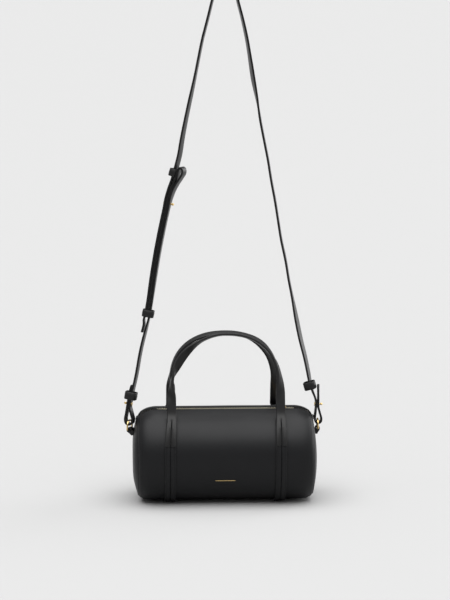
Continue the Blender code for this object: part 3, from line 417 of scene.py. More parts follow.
# Rows of points become one mesh; edges holds a row of wear values for each row of points,
# slots one material number for each point of a row
def makePiece(name, materials, replaces, rows, edges=None, slots=None, closed=False, tube=True,
              body="bag", crease=50, merge=0.0, blend=None):
    count = len(rows[0])
    edges = edges or [[0.0] * count] * len(rows)
    slots = slots or [0] * count
    faces, strips = [], []
    starts = [count * i for i in range(len(rows))]
    for here, there in zip(starts, starts[1:] + starts[:1] if closed else starts[1:]):
        for i in range(count if tube else count - 1):
            j = (i + 1) % count
            faces.append((here + i, here + j, there + j, there + i))
            strips.append(slots[i])
    if not closed:
        faces += [tuple(range(first, first + count)) for first in (0, starts[-1])]
        strips += [slots[0], slots[0]]
    mesh = bpy.data.meshes.new(name)
    mesh.from_pydata([tuple(p) for row in rows for p in row], [], faces)
    mesh.polygons.foreach_set("material_index", strips)
    worn = mesh.attributes.new("edge", "FLOAT", "POINT")
    worn.data.foreach_set("value", [value for row in edges for value in row])
    bm = bmesh.new()
    bm.from_mesh(mesh)
    if merge:
        bmesh.ops.remove_doubles(bm, verts=bm.verts, dist=merge)
    bmesh.ops.recalc_face_normals(bm, faces=bm.faces)
    bm.to_mesh(mesh)
    bm.free()
    mesh.shade_smooth()
    mesh.set_sharp_from_angle(angle=math.radians(crease))
    for look in materials:
        mesh.materials.append(looks[look])
    settle(addObject(name, mesh), replaces, body, blend)


# The barrel's surface, which everything sewn to it follows
barrel = {
    "radius": 0.061,
    "seamHalf": 0.1128,
    "baseFlat": 0.036,
    "topStart": 0.0248,
    "topReach": 0.0255,
    "topDepth": 0.0145,
    "lowStart": 0.0148,
    "lowReach": 0.0175,
    "lowDepth": 0.012,
    "bulge": {-1: 0.0070, 1: 0.0053},
    "fullTop": {-1: 1.4, 1: 0.0},  # how much fuller an end is towards its ring
    "fullRim": {-1: 5.0, 1: 1.0},  # how much fuller an end is to the front and back
    "endSag": 0.008,
    "endReach": 0.048,
    "endShares": (0.97, 0.94, 0.9, 0.86, 0.82, 0.72, 0.6, 0.46, 0.3, 0.14, 0.0),
    "leather": 0.0018,
    "roll": math.radians(6),
    "gap": 0.0003,
    "wrap": 0.0022,
    "softness": 0.00035,  # how far the leather dips between its seams
    "endSoftness": 0.0003,
    "softScale": 1.3,
    "softAlong": 14,
    "softAround": 1.1,
    "softOffset": (3.1, 0.7, 5.2),
    "endSoftScale": 30,
    "step": math.radians(3),
    "merge": 1e-6,
}
flatDrop = math.sqrt(barrel["radius"] ** 2 - (barrel["baseFlat"] / 2) ** 2)
centreZ = flatDrop + barrel["gap"] + barrel["wrap"]
roll, gap = barrel["roll"], barrel["gap"]
kink = math.asin(barrel["baseFlat"] / 2 / barrel["radius"])
kinks = [math.pi - kink, math.pi + kink]  # where the base's flat begins and ends


def cornerDrop(x, start, reach, depth):
    past = max(0.0, abs(x) - (barrel["seamHalf"] - start)) / reach
    return depth * (1 - math.sqrt(max(0.0, 1 - past * past)))


def barrelPoint(x, angle, sink=0.0):
    topShare = (1 + math.cos(angle)) / 2
    topDrop = cornerDrop(x, barrel["topStart"], barrel["topReach"], barrel["topDepth"])
    lowDrop = cornerDrop(x, barrel["lowStart"], barrel["lowReach"], barrel["lowDepth"])
    radius = barrel["radius"] - topShare * topDrop - (1 - topShare) * lowDrop - sink
    lowest = centreZ - flatDrop + lowDrop + sink
    return Vector((x, -radius * math.sin(angle), max(centreZ + radius * math.cos(angle), lowest)))


def dip(x, angle):  # soft unevenness of the leather, never outwards
    around, away = barrel["softAround"], Vector(barrel["softOffset"])
    spot = Vector((x * barrel["softAlong"], math.sin(angle) * around, math.cos(angle) * around))
    return barrel["softness"] * (0.5 + 0.5 * noise.noise(spot * barrel["softScale"] + away))


def endBulge(side, share, angle):
    topShare = (1 + math.cos(angle)) / 2
    rimPower = barrel["fullRim"][side] * math.sin(angle) ** 2
    return barrel["bulge"][side] * (1 - share ** (2 + barrel["fullTop"][side] * topShare**2 + rimPower))


def endPoint(side, share, angle, inset=0.0):
    rim = barrelPoint(barrel["seamHalf"], angle, inset)
    crown = Vector((rim.x, 0.0, centreZ - barrel["endSag"]))
    spot = crown.lerp(rim, share)
    bulge = endBulge(side, share, angle) - inset * (1 - share * share)
    return Vector((side * (barrel["seamHalf"] + gap + bulge), spot.y, spot.z))


def domeReach(side, rise):
    rim = barrelPoint(barrel["seamHalf"], roll)
    share = (rise + barrel["endSag"]) / (rim.z - centreZ + barrel["endSag"])
    return barrel["seamHalf"] + gap + endBulge(side, share, roll)


def stations(half, count=14, straight=8):  # closer together where the ends round off
    start = barrel["seamHalf"] - barrel["topStart"]
    ends = [start + (half - start) * math.sin(math.pi / 2 * i / count) for i in range(1, count + 1)]
    middle = [-start + 2 * start * i / straight for i in range(straight + 1)]
    return [-x for x in reversed(ends)] + middle + ends


def roundedRim(radius, steps=4):  # (how far in from the rim, how much lower) along a quarter round
    turns = [math.pi / 2 * i / steps for i in range(steps + 1)]
    return [(radius * (1 - math.cos(a)), radius * (1 - math.sin(a))) for a in turns]


def plateProfile(angles, dips, rim):  # (angle, extra depth): rounded at both ends, with grooves
    radius, clear, beyond = barrel["radius"], 0.004, 1.1
    first, last = angles[0], angles[-1]
    rows = [(first + d / radius, s) for d, s in rim]
    spots = [(a, 0.0) for a in angles if rows[-1][0] + clear < a < last - rim[-1][0] / radius - clear]
    for centre, half, depth in dips:
        spots = [p for p in spots if abs(p[0] - centre) > half * beyond]
        for k, s in ((-1, 0), (-0.5, 0.6), (0, 1), (0.5, 0.6), (1, 0)):
            spots.append((centre + half * k, depth * s))
    rows += sorted(spots)
    return rows + [(last - d / radius, s) for d, s in reversed(rim)]


# A shell that follows the barrel; rimX rounds its two ends as the profile rounds its sides
def barrelShell(name, look, places, profile, outer, inner, replaces, rimX=(), soft=False):
    rows, edges = [], []
    half, clear, rimRows, count = places[-1], 1e-5, 4, len(profile)
    ends = [(-half + d, s) for d, s in rimX] or [(places[0], 0.0)]
    middle = [(x, 0.0) for x in places if ends[-1][0] + clear < x < -ends[-1][0] - clear]
    for x, extra in ends + middle + [(-x, s) for x, s in reversed(ends)]:
        push = [dip(x, angle) if soft else 0.0 for angle, low in profile]
        top = [barrelPoint(x, a, outer + max(low, extra) + p) for (a, low), p in zip(profile, push)]
        rows.append(top + [barrelPoint(x, angle, inner) for angle, low in reversed(profile)])
        worn = [1.0 if extra > 0 or min(i, count - 1 - i) < rimRows else 0.0 for i in range(count)]
        edges.append(worn + [0.0] * count)
    makePiece(name, [look], replaces, rows, edges)


# A domed plate across one end of the barrel
def endShell(name, look, side, outer, inner, replaces, rimShare=1.0, inset=0.0, rim=(), soft=0.0):
    shares = [rimShare * (1 - d / barrel["endReach"]) for d, s in rim] or [rimShare]
    extras = [s for d, s in rim] or [0.0]
    shares += [s * rimShare for s in barrel["endShares"] if s * rimShare < shares[-1] - 0.01]
    extras += [0.0] * (len(shares) - len(extras))
    rows, edges = [], []
    for angle in spread(0.0, 2 * math.pi, barrel["step"])[:-1]:
        face = [endPoint(side, s, angle, inset) for s in shares]
        bend = [0.5 + 0.5 * noise.noise(p * barrel["endSoftScale"]) for p in face]
        push = [soft * k * (1 - s) for k, s in zip(bend, shares)]
        top = [p - Vector((side * (outer + e + d), 0, 0)) for p, e, d in zip(face, extras, push)]
        rows.append(top + [p - Vector((side * inner, 0, 0)) for p in reversed(face)])
        edges.append([1.0 if e > 0 else 0.0 for e in extras] + [0.0] * len(shares))
    makePiece(name, [look], replaces, rows, edges, closed=True, merge=barrel["merge"])


# Geometry nodes for what repeats along a line
geometrySocket = ("Geometry", "Geometry")


def endTree(tree, geometry, start, end):
    real = addNode(tree, "GeometryNodeRealizeInstances", {0: geometry})
    paint = addNode(tree, "GeometryNodeSetMaterial", {
        "Geometry": real.outputs[0], "Material": start["Material"],
    })
    setInputs(tree, end, {0: paint.outputs[0]})
    return tree


# One shape repeated along the guide line, shifted along or away from it, sized alike or a little unevenly
def makeRepeatTree(name, shape, shapeInputs, moveAlong, uneven):
    tree, start, end = newTree("GeometryNodeTree", name, [
        geometrySocket, ("Pitch", "Float", 0.003), ("Size", "Vector", (0.0024, 0.0005, 0.0005)),
        ("Shift", "Float", 0.0), ("Seed", "Int", 4), ("Material", "Material"),
    ], [geometrySocket])
    curve = addNode(tree, "GeometryNodeMeshToCurve", {"Mesh": start["Geometry"]}).outputs["Curve"]
    even = addNode(tree, "GeometryNodeResampleCurve", {"Curve": curve, "Length": start["Pitch"]},
                   mode="LENGTH")
    tangent = addNode(tree, "GeometryNodeInputTangent", {}).outputs[0]
    named = addNode(tree, "GeometryNodeInputNamedAttribute", {"Name": "facing"}, data_type="FLOAT_VECTOR")
    facing = named.outputs["Attribute"]
    first = addNode(tree, "FunctionNodeAlignRotationToVector", {"Vector": tangent}, axis="X").outputs[0]
    turn = addNode(tree, "FunctionNodeAlignRotationToVector", {"Rotation": first, "Vector": facing},
                   axis="Z", pivot_axis="X").outputs[0]
    way = tangent if moveAlong else facing
    shift = addNode(tree, "ShaderNodeVectorMath", {0: way, "Scale": start["Shift"]}, operation="SCALE")
    moved = addNode(tree, "GeometryNodeSetPosition", {
        "Geometry": even.outputs["Curve"], "Offset": shift.outputs[0],
    })
    size = start["Size"]
    if uneven:
        low, high = [(k, k, k) for k in uneven]
        wobble = addNode(tree, "FunctionNodeRandomValue", {0: low, 1: high, "Seed": start["Seed"]},
                         data_type="FLOAT_VECTOR")
        grown = addNode(tree, "ShaderNodeVectorMath", {0: size, 1: wobble.outputs[0]}, operation="MULTIPLY")
        size = grown.outputs[0]
    lay = addNode(tree, "GeometryNodeInstanceOnPoints", {
        "Points": moved.outputs[0], "Instance": addNode(tree, shape, shapeInputs).outputs["Mesh"],
        "Rotation": turn, "Scale": size,
    })
    return endTree(tree, lay.outputs[0], start, end)


def makeWireTree():
    tree, start, end = newTree("GeometryNodeTree", "wireRun", [
        geometrySocket, ("Radius", "Float", 0.0011), ("Sides", "Int", 20), ("Material", "Material"),
    ], [geometrySocket])
    curve = addNode(tree, "GeometryNodeMeshToCurve", {"Mesh": start["Geometry"]})
    ring = addNode(tree, "GeometryNodeCurvePrimitiveCircle", {
        "Resolution": start["Sides"], "Radius": start["Radius"],
    })
    sweep = addNode(tree, "GeometryNodeCurveToMesh", {
        "Curve": curve.outputs["Curve"], "Profile Curve": ring.outputs["Curve"], "Fill Caps": True,
    })
    smooth = addNode(tree, "GeometryNodeSetShadeSmooth", {0: sweep.outputs[0]})
    return endTree(tree, smooth.outputs[0], start, end)


trees = {
    "stitch": makeRepeatTree("stitchRun", "GeometryNodeMeshUVSphere",
                             {"Segments": 6, "Rings": 5, "Radius": 0.5}, False, (0.92, 1.06)),
    "tooth": makeRepeatTree("zipTeeth", "GeometryNodeMeshCylinder",
                            {"Vertices": 8, "Radius": 0.5, "Depth": 1.0}, True, None),
    "wire": makeWireTree(),
}


# Guide lines of (point, facing) go through a node tree and come back as one plain mesh
def runAlong(name, tree, lines, look, replaces=(), body="bag", closed=False, **values):
    points, links, facings = [], [], []
    for line in lines:
        first = len(points)
        points += [tuple(p) for p, n in line]
        facings += [c for p, n in line for c in n]
        links += [(i, i + 1) for i in range(first, len(points) - 1)]
        if closed:
            links.append((len(points) - 1, first))
    guide = bpy.data.meshes.new(name)
    guide.from_pydata(points, links, [])
    guide.attributes.new("facing", "FLOAT_VECTOR", "POINT").data.foreach_set("vector", facings)
    obj = addObject(name, guide)
    run = obj.modifiers.new("run", "NODES")
    run.node_group = trees[tree]
    values["Material"] = looks[look]
    for item in trees[tree].interface.items_tree:
        if item.in_out == "INPUT" and item.name in values:
            run[item.identifier] = values[item.name]
    bpy.context.view_layer.update()
    made = bpy.data.meshes.new_from_object(obj.evaluated_get(bpy.context.evaluated_depsgraph_get()))
    obj.modifiers.remove(run)
    obj.data = made
    made.name = name
    bpy.data.meshes.remove(guide)
    settle(obj, replaces, body)


def runStitches(name, lines, sizes):
    length, thread = sizes["stitch"], sizes["thread"]
    runAlong(name, "stitch", lines, "blackThread", Pitch=sizes["pitch"], Size=(length, thread, thread),
             Shift=sizes["lift"])


# Skin, ends, lining and boards
zipSizes = {
    "slot": 0.010,
    "toothGap": 0.0014,
    "toothWidth": 0.0016,
    "toothDepth": 0.0020,
    "toothSink": 0.0010,
    "toothPitch": 0.0032,
    "toothLength": 0.0016,
    "toothFillShare": 0.7,
    "tapeWidth": 0.013,
    "tapeThick": 0.0007,
    "tapeShy": 0.003,
    "teethShy": 0.006,
    "paleHalf": 0.087,  # past this the teeth lie in the corners' shade, which is painted on them as near-black metal
    "seamFromEdge": 0.0022,
    "seamShy": 0.004,
    "seamGroove": 0.00022,
    "grooveHalf": 0.0009,
    "patchWidth": 0.014,
    "patchShare": 0.07,
    "patchReachShare": 7 / 8,
    "patchLeather": 0.0012,
    # of the way across and of its leather there
    "patchEdgeShares": ((0, 0.6), (0.1, 1.0), (0.5, 1.0), (0.9, 1.0), (1, 0.6)),
    "patchStep": math.radians(2),
}
seamSizes = {
    "rim": 0.0011,
    "slotRim": 0.0010,
    "inFromSeam": 0.0034,
    "besideZip": 1.3,  # how far from the zip the round seams stop, against the zip's own seam
    "zipStitch": {"pitch": 0.0026, "stitch": 0.0020, "thread": 0.00045, "lift": 0.0001},
    "endStitch": {"pitch": 0.0034, "stitch": 0.0025, "thread": 0.00055, "lift": 0.0},
}
insideSizes = {
    "board": 0.0008,
    "lining": 0.0008,
    "tapeRoom": 0.0008,  # left for the zip tape under the lining
    "liningShy": 0.0025,
    "liningSlot": 0.018,
    "step": math.radians(6),
    "boardShare": 0.90,
    "liningShare": 0.96,
    "pocketHalf": 0.055,
    "pocketTall": 0.058,
    "pocketTop": math.radians(62),
}
radius = barrel["radius"]
tapeSink = barrel["leather"] + 2 * gap
seamAway = (zipSizes["slot"] / 2 + zipSizes["seamFromEdge"]) / radius


def aroundFrom(away, step):  # angles from one side of the zip round to the other
    return spread(roll + away, 2 * math.pi + roll - away, step)


def makeSkin():
    angles = sorted(aroundFrom(zipSizes["slot"] / 2 / radius, barrel["step"]) + kinks)
    groove = (zipSizes["grooveHalf"] / radius, zipSizes["seamGroove"])
    dips = [(roll + seamAway, *groove), (2 * math.pi + roll - seamAway, *groove)]
    profile = plateProfile(angles, dips, roundedRim(seamSizes["slotRim"]))
    rim, leather = roundedRim(seamSizes["rim"], steps=5), barrel["leather"]
    barrelShell("bagSkin", "bagLeather", stations(barrel["seamHalf"]), profile, 0.0, leather, ["main_panel"],
                rimX=rim, soft=True)
    for side, word in sides:
        endShell("endSkin" + word, "bagLeather", side, 0.0, leather, ["end_panel_" + word.lower()],
                 rim=rim, soft=barrel["endSoftness"])
        deep = gap
        for part, node, look, thick, share in (
                ("Board", "end_stiffener_", "fibreBoard", insideSizes["board"], insideSizes["boardShare"]),
                ("Lining", "lining_end_", "liningTwill", insideSizes["lining"],
                 insideSizes["liningShare"])):
            endShell("end" + part + word, look, side, deep, deep + thick, [node + word.lower()],
                     rimShare=share, inset=leather)
            deep += thick + gap


def makeInside():
    s = insideSizes
    sink = tapeSink + s["tapeRoom"] + gap
    deep = sink + s["lining"]
    angles = aroundFrom(s["liningSlot"] / 2 / radius, s["step"])
    places = stations(barrel["seamHalf"] - s["liningShy"], count=8, straight=2)
    barrelShell("bagLining", "liningTwill", places, [(a, 0.0) for a in angles], sink, deep, ["lining_main"])
    back = 2 * math.pi - s["pocketTop"]
    angles = spread(back - s["pocketTall"] / radius, back, s["step"])
    barrelShell("insidePocket", "liningTwill", [-s["pocketHalf"], 0.0, s["pocketHalf"]],
                [(a, 0.0) for a in angles], deep + 2 * gap, deep + 2 * gap + s["lining"], ["inner_pocket"])


def makeSeams():  # thread beside the zip and round both ends
    places = stations(barrel["seamHalf"] - zipSizes["seamShy"])
    lines = []
    for hand in (1, -1):
        angle = roll + hand * seamAway
        lines.append([(barrelPoint(x, angle, zipSizes["seamGroove"]), radial(angle)) for x in places])
    runStitches("zipStitches", lines, seamSizes["zipStitch"])
    lines = []
    for side in (-1, 1):
        x = side * (barrel["seamHalf"] - seamSizes["inFromSeam"])
        angles = aroundFrom(seamAway * seamSizes["besideZip"], barrel["step"])
        lines.append([(barrelPoint(x, a), radial(a)) for a in angles])
    runStitches("endStitches", lines, seamSizes["endStitch"])


makeSkin()
makeInside()
makeSeams()
print("skin, lining and seams")


# Zip
def makeZip():
    z = zipSizes
    near = z["toothGap"] / 2
    far = near + z["toothWidth"]
    tapeNear = far + gap
    depth = z["toothSink"] + z["toothDepth"] / 2
    size = (z["toothLength"], (z["toothWidth"] + z["toothGap"]) * z["toothFillShare"], z["toothDepth"])
    places, pale = stations(barrel["seamHalf"] - z["teethShy"], count=20, straight=60), z["paleHalf"]
    middle = [-pale] + [x for x in places if abs(x) < pale] + [pale]
    corners = [[x for x in places if x < -pale], [x for x in places if x > pale]]
    for hand, word in hands:
        edges = sorted(roll + hand * reach / radius for reach in (tapeNear, tapeNear + z["tapeWidth"]))
        barrelShell("zipTape" + word, "zipTape", stations(barrel["seamHalf"] - z["tapeShy"]),
                    [(a, 0.0) for a in spread(*edges, barrel["step"])], tapeSink, tapeSink + z["tapeThick"],
                    ["zip_tape_" + word.lower()])
        angle = roll + hand * (near + far) / 2 / radius
        # the corner teeth get painted shade: near-black metal where the corners fall into shade
        for part, look, runs in (("Middle", "paleTeeth", [middle]), ("Corners", "cornerShadeTeeth", corners)):
            lines = [[(barrelPoint(x, angle, depth), radial(angle)) for x in run] for run in runs]
            runAlong("zipTeeth" + word + part, "tooth", lines, look, ["zip_teeth_" + word.lower()],
                     Pitch=z["toothPitch"], Size=size, Shift=hand * z["toothPitch"] / 4)


def makePatches():  # the small patches over the zip's ends
    z = zipSizes
    half = z["patchWidth"] / 2 / radius
    for side, word in sides:
        rows, outward = [], Vector((side, 0, 0))
        for angle in spread(roll - half, roll + half, z["patchStep"]):
            upper, base = [], []
            for across, leatherShare in z["patchEdgeShares"]:
                share = 1 - z["patchShare"] * (1 - across * z["patchReachShare"])
                base.append(endPoint(side, share, angle) + outward * gap)
                upper.append(base[-1] + outward * z["patchLeather"] * leatherShare)
            rows.append(upper + base[::-1])
        makePiece("zipEndPatch" + word, ["bagLeather"], ["zip_end_tab_" + word.lower()], rows)


makeZip()
makePatches()
print("zip")


# Wrap straps
wrapSizes = {
    "spacing": 0.140,
    "width": 0.0138,
    "thick": 0.0022,
    "leave": math.radians(30),
    "rim": 0.0007,
    "seamHalfWidth": 0.00065,
    "seamDepth": 0.0010,
    "edgeLine": 0.0016,  # the pressed line beside each edge
    "edgeHalfWidth": 0.0005,
    "edgeDepth": 0.00035,
    "undercutShare": 0.8,  # the underside's width against the top's
    "drift": {-1: -0.0022, 1: -0.0003},  # how far each strap slants aside down the front
    "driftIn": 0.8,  # radians along which the slant grows
    "driftOut": 1.2,  # and along which it goes again
    "driftEnd": 4.6,
}
halfSpacing = wrapSizes["spacing"] / 2


def stripTop(width, rim, dips):  # (across, lower by) over a strip: rounded rims and pressed lines
    left = [(-width / 2 + d, s) for d, s in roundedRim(rim)]
    lines = []
    for centre, reach, depth in dips:
        for k, s in ((-1, 0), (-1 / 3, 0.9), (0, 1), (1 / 3, 0.9), (1, 0)):
            lines.append((centre + reach * k, depth * s))
    return left + sorted(lines) + [(-y, s) for y, s in reversed(left)]


def wrapMiddle(side, angle):
    w = wrapSizes
    around = (angle - roll) % (2 * math.pi)
    slant = ease((around - w["leave"]) / w["driftIn"]) * ease((w["driftEnd"] - around) / w["driftOut"])
    return side * halfSpacing + w["drift"][side] * slant


def makeWraps():
    w = wrapSizes
    inFromEdge = w["width"] / 2 - w["edgeLine"]
    edgeDips = [(k * inFromEdge, w["edgeHalfWidth"], w["edgeDepth"]) for k in (-1, 1)]
    top = stripTop(w["width"], w["rim"], [(0.0, w["seamHalfWidth"], w["seamDepth"])] + edgeDips)
    rimRows, count = 5, len(top)
    worn = [1.0 if min(i, count - 1 - i) < rimRows else 0.0 for i in range(count)] + [0.0] * count
    for side, word in sides:
        rows = []
        for angle in sorted(aroundFrom(w["leave"], barrel["step"]) + kinks):
            middle = wrapMiddle(side, angle)
            upper = [barrelPoint(middle + y, angle, -gap - w["thick"] + s) for y, s in top]
            lower = [barrelPoint(middle + y * w["undercutShare"], angle, -gap) for y, s in reversed(top)]
            rows.append(upper + lower)
        wear = [worn] * len(rows)
        makePiece("wrapStrap" + word, ["bagLeather"], ["wrap_strap_" + word.lower()], rows, wear)


makeWraps()
print("wrap straps")


# Handles
handleSizes = {
    "sewn": 0.042,
    "width": 0.0118,
    "thick": 0.0037,
    "rim": 0.0013,
    "wornShare": 0.9,  # of the rim, from where on it is rubbed
    "topHeight": 0.2195,
    "meetY": -0.004,
    "leanRear": 0.0042,  # how far the rear arch's right leg draws in above its foot
    "leanFrom": -0.016,  # where along the leg it starts, and over what length
    "leanOver": 0.014,
    "fullness": {1: {-1: 1.05, 1: 0.87}, -1: {-1: 0.87, 1: 0.87}},  # below 1 the arch's shoulder stands out
    "leastShare": 1e-6,  # keeps the arch's middle row on its own side
    "topThinShare": 0.78,
    "endShare": 0.08,
    "bendSkipShare": 0.26,  # how much of the sewn end lifts into the bend
    "bendRise": 0.010,
    "bendPullShare": 0.5,
    "sewnSteps": 24,
    "bendSteps": 12,
    "legSteps": 9,
    "grooveHalf": 0.0008,
    "grooveDepth": 0.0011,
    "flatShare": 0.02,  # up to this share of the arch the leg lies square to the strap
    "coreWall": 0.0010,
    "coreRim": 0.0002,
    "foldBelow": 0.001,
    "foldAbove": 0.010,  # with foldBelow, the blend range up and down each leg from the hinge; settle only bakes a blended piece in place
    "seamStartShare": 0.12,
    "seamRunShare": 0.8,
    "seamSteps": 14,
    "seamSinkShare": 0.7,  # share of the groove's depth at which the thread lies
    "seam": {"pitch": 0.0030, "stitch": 0.0024, "thread": 0.0007, "lift": 0.0},
}
handleBase = radius + gap + wrapSizes["thick"] + gap
handleOuter = handleBase + handleSizes["thick"]
# Twist of each leg: (share of the arch's length, quarter turns from lying flat)
twistShares = {
    1: {-1: [(0.05, 0.0), (0.15, 0.9), (0.25, 1.7), (0.40, 1.05), (0.46, 1.0)],
        1: [(0.06, 0.0), (0.20, 0.8), (0.32, 1.0)]},
    -1: {-1: [(0.04, 0.0), (0.15, 1.0)],
         1: [(0.05, 0.0), (0.17, 0.45), (0.28, 0.6), (0.42, 1.0)]},
}


def taperAt(along):  # the sewn end grows from its thin tip to its full thickness
    return 1 - (1 - handleSizes["endShare"]) * (1 - along)


def handlePlan(hand):  # hinge and foot of one arch, its direction up and its straight leg
    h = handleSizes
    leave = roll + hand * wrapSizes["leave"]
    hinge = Vector((0, 0, centreZ)) + radial(leave) * handleOuter
    topY = h["meetY"] - hand * (h["width"] + gap * 2) / 2
    top = Vector((0, topY, h["topHeight"] - h["thick"] / 2))
    foot = hinge.copy()
    for _ in range(4):
        up = (top - foot).normalized()
        normal = Vector((0, up.z, -up.y))
        foot = hinge + normal * hand * h["thick"] / 2 + up * gap
    return {"hinge": hinge, "foot": foot, "up": up, "normal": normal, "leave": leave,
            "leg": (top - foot).length - halfSpacing, "hand": hand,
            "lean": h["leanRear"] if hand < 0 else 0.0}


def sewnStops(plan):  # the sewn end of the left leg and the bend into the arch
    h, up = handleSizes, plan["up"]
    stops, aside = [], []
    for i in range(h["sewnSteps"] + 1):
        t = i / h["sewnSteps"]
        down = 1 - t * (1 - h["bendSkipShare"])
        angle = plan["leave"] + plan["hand"] * h["sewn"] / handleOuter * down
        middle = handleBase + h["thick"] * taperAt(t) / 2
        wide = 1 + (wrapSizes["width"] / h["width"] - 1) * ease(2 * down)
        aside.append(wrapMiddle(-1, angle) + halfSpacing)
        stops.append((Vector((-halfSpacing, 0, centreZ)) + radial(angle) * middle, taperAt(t), wide))
    last = stops[-1][0]
    lead = (last - stops[-2][0]).normalized()
    goal = plan["foot"] + Vector((-halfSpacing, 0, 0)) + up * h["bendRise"]
    pull = (goal - last).length * h["bendPullShare"]
    a, b = last + lead * pull, goal - up * pull
    for i in range(1, h["bendSteps"]):
        t = i / h["bendSteps"]
        spot = last * (1 - t) ** 3 + a * 3 * t * (1 - t) ** 2 + b * 3 * t * t * (1 - t) + goal * t**3
        stops.append((spot, 1.0, 1.0))
    return stops, aside


# Centre points from one end to the other, each with its share of the thickness and of the width
def handleRun(plan, sewn):
    h, up, foot, leg = handleSizes, plan["up"], plan["foot"], plan["leg"]
    stops, aside = sewnStops(plan) if sewn else ([], [])
    start = h["bendRise"] if sewn else 0.0
    for i in range(h["legSteps"]):
        rise = start + (leg - start) * i / h["legSteps"]
        stops.append((foot + Vector((-halfSpacing, 0, 0)) + up * rise, 1.0, 1.0))
    turns = spread(math.pi, 0, barrel["step"])
    for angle in turns:
        side = -1 if angle > math.pi / 2 else 1
        full = h["fullness"][plan["hand"]][side]
        reach = side * max(abs(math.cos(angle)), h["leastShare"]) ** full
        rise = math.sin(angle) ** full
        spot = foot + Vector((halfSpacing * reach, 0, 0)) + up * (leg + halfSpacing * rise)
        stops.append((spot, 1 - (1 - h["topThinShare"]) * ease((rise - 0.5) * 2), 1.0))
    stops += [(Vector((-p.x, p.y, p.z)), a, b) for p, a, b in reversed(stops[:-len(turns)])]
    for i in range(len(stops) // 2 + 1, len(stops)):
        spot, thin, wide = stops[i]
        drawn = 1 - plan["lean"] / halfSpacing * ease(((spot - foot).dot(up) - h["leanFrom"]) / h["leanOver"])
        stops[i] = (Vector((spot.x * drawn, spot.y, spot.z)), thin, wide)
    for i, slant in enumerate(aside):
        spot, thin, wide = stops[i]
        stops[i] = (spot + Vector((slant, 0, 0)), thin, wide)
    return stops


def handleRows(plan, stops, section):
    h, normal = handleSizes, plan["normal"]
    total = 2 * plan["leg"] + math.pi * halfSpacing
    spots = [spot for spot, thin, wide in stops]
    runs = runLengths(spots)
    skip = (runs[-1] - total) / 2  # the sewn ends lie outside the arch's own length
    rows = []
    for i, (spot, thin, wide) in enumerate(stops):
        before, after = neighbours(spots, i)
        along = (after - before).normalized()
        side = -1 if i < len(stops) / 2 else 1
        share = (min(runs[i], runs[-1] - runs[i]) - skip) / total
        turned = readTable(twistShares[plan["hand"]][side], share)
        sideways = along.cross(normal).normalized() if share > h["flatShare"] else Vector((side, 0, 0))
        angle = math.pi / 2 * (1 - turned)
        across = (sideways * math.sin(angle) + normal * math.cos(angle)).normalized()
        outward = across.cross(along).normalized()
        hollow = h["grooveDepth"] * ease(-share * total / h["bendRise"]) * plan["hand"]
        row = []
        for a, b in section:  # the middle of a sewn end lies deeper under its thread
            sunk = hollow if abs(a) < h["grooveHalf"] / 2 else 0.0
            row.append(spot + across * a * wide + outward * (b * thin + sunk))
        rows.append(row)
    return rows


def makeHandle(hand, word):
    h, plan = handleSizes, handlePlan(hand)
    low, up = plan["hinge"], plan["up"]
    blend = (low - up * h["foldBelow"], low + up * h["foldAbove"])
    body, name = word.lower() + "_handle", "handle_" + word.lower()
    section = roundSection(h["width"], h["thick"], h["rim"])
    groove = [(k * h["grooveHalf"], h["thick"] / 2) for k in (-1, 0, 1)]
    section = section[:5] + groove + section[5:15] + [(-a, -b) for a, b in groove] + section[15:]
    flat = h["width"] / 2 - h["rim"] * h["wornShare"]
    worn = [0.0 if abs(a) < flat else 1.0 for a, b in section]
    coreThick = h["thick"] - 2 * h["coreWall"] - 4 * gap
    core = roundSection(h["width"] / 2 - h["coreWall"], coreThick, h["coreRim"], 2)
    rows = handleRows(plan, handleRun(plan, True), section)
    wear = [worn] * len(rows)
    covered = [name, name + "_end_left", name + "_end_right"]
    makePiece("handleCover" + word, ["strapLeather"], covered, rows, wear, body=body, blend=blend)
    rows = handleRows(plan, handleRun(plan, False), core)
    makePiece("handleCore" + word, ["fibreBoard"], [name + "_filler"], rows, body=body, blend=blend)


def makeHandleSeams(hand, word):
    h, leave = handleSizes, handlePlan(hand)["leave"]
    lines = []
    for side in (-1, 1):
        line = []
        for i in range(h["seamSteps"] + 1):
            t = h["seamStartShare"] + h["seamRunShare"] * i / h["seamSteps"]
            angle = leave + hand * h["sewn"] / handleOuter * (1 - t)
            high = handleBase + h["thick"] * taperAt(t) - h["grooveDepth"] * h["seamSinkShare"]
            centre = Vector((wrapMiddle(side, angle), 0, centreZ))
            line.append((centre + radial(angle) * high, radial(angle)))
        lines.append(line)
    runStitches("handleStitches" + word, lines, h["seam"])


for hand, word in hands:
    makeHandle(hand, word)
    makeHandleSeams(hand, word)
print("handles")


# Rings and their tabs
ringSizes = {
    "halfOpening": 0.0062,
    "wire": 0.0022,
    "leg": 0.0045,
    "barRise": 0.0325,
    "corner": 0.0016,
    "cornerStep": math.radians(12),
    "archStep": math.radians(7.5),
    "sides": 16,
    "turn": {-1: math.radians(25), 1: 0.0},
    "reach": {-1: 0.123663, 1: 0.120041},  # how far out each ring's bar stands
}
tabSizes = {
    "width": 0.009,
    "leather": 0.0012,
    "rim": 0.0003,
    "drop": 0.0075,
    "slack": 0.0004,
    "dropShares": (1.0, 0.7, 0.3),  # of the drop, up the inner layer
    "foldShare": 0.95,  # how far out the outer layer leaves the fold
    "outerShare": 0.7,  # and how much of the way it has then gone
}
wireRadius = ringSizes["wire"] / 2
ringY = -ringSizes["barRise"] * math.tan(roll)


def ringPlace(side):
    return Vector((side * ringSizes["reach"][side], ringY, centreZ + ringSizes["barRise"]))


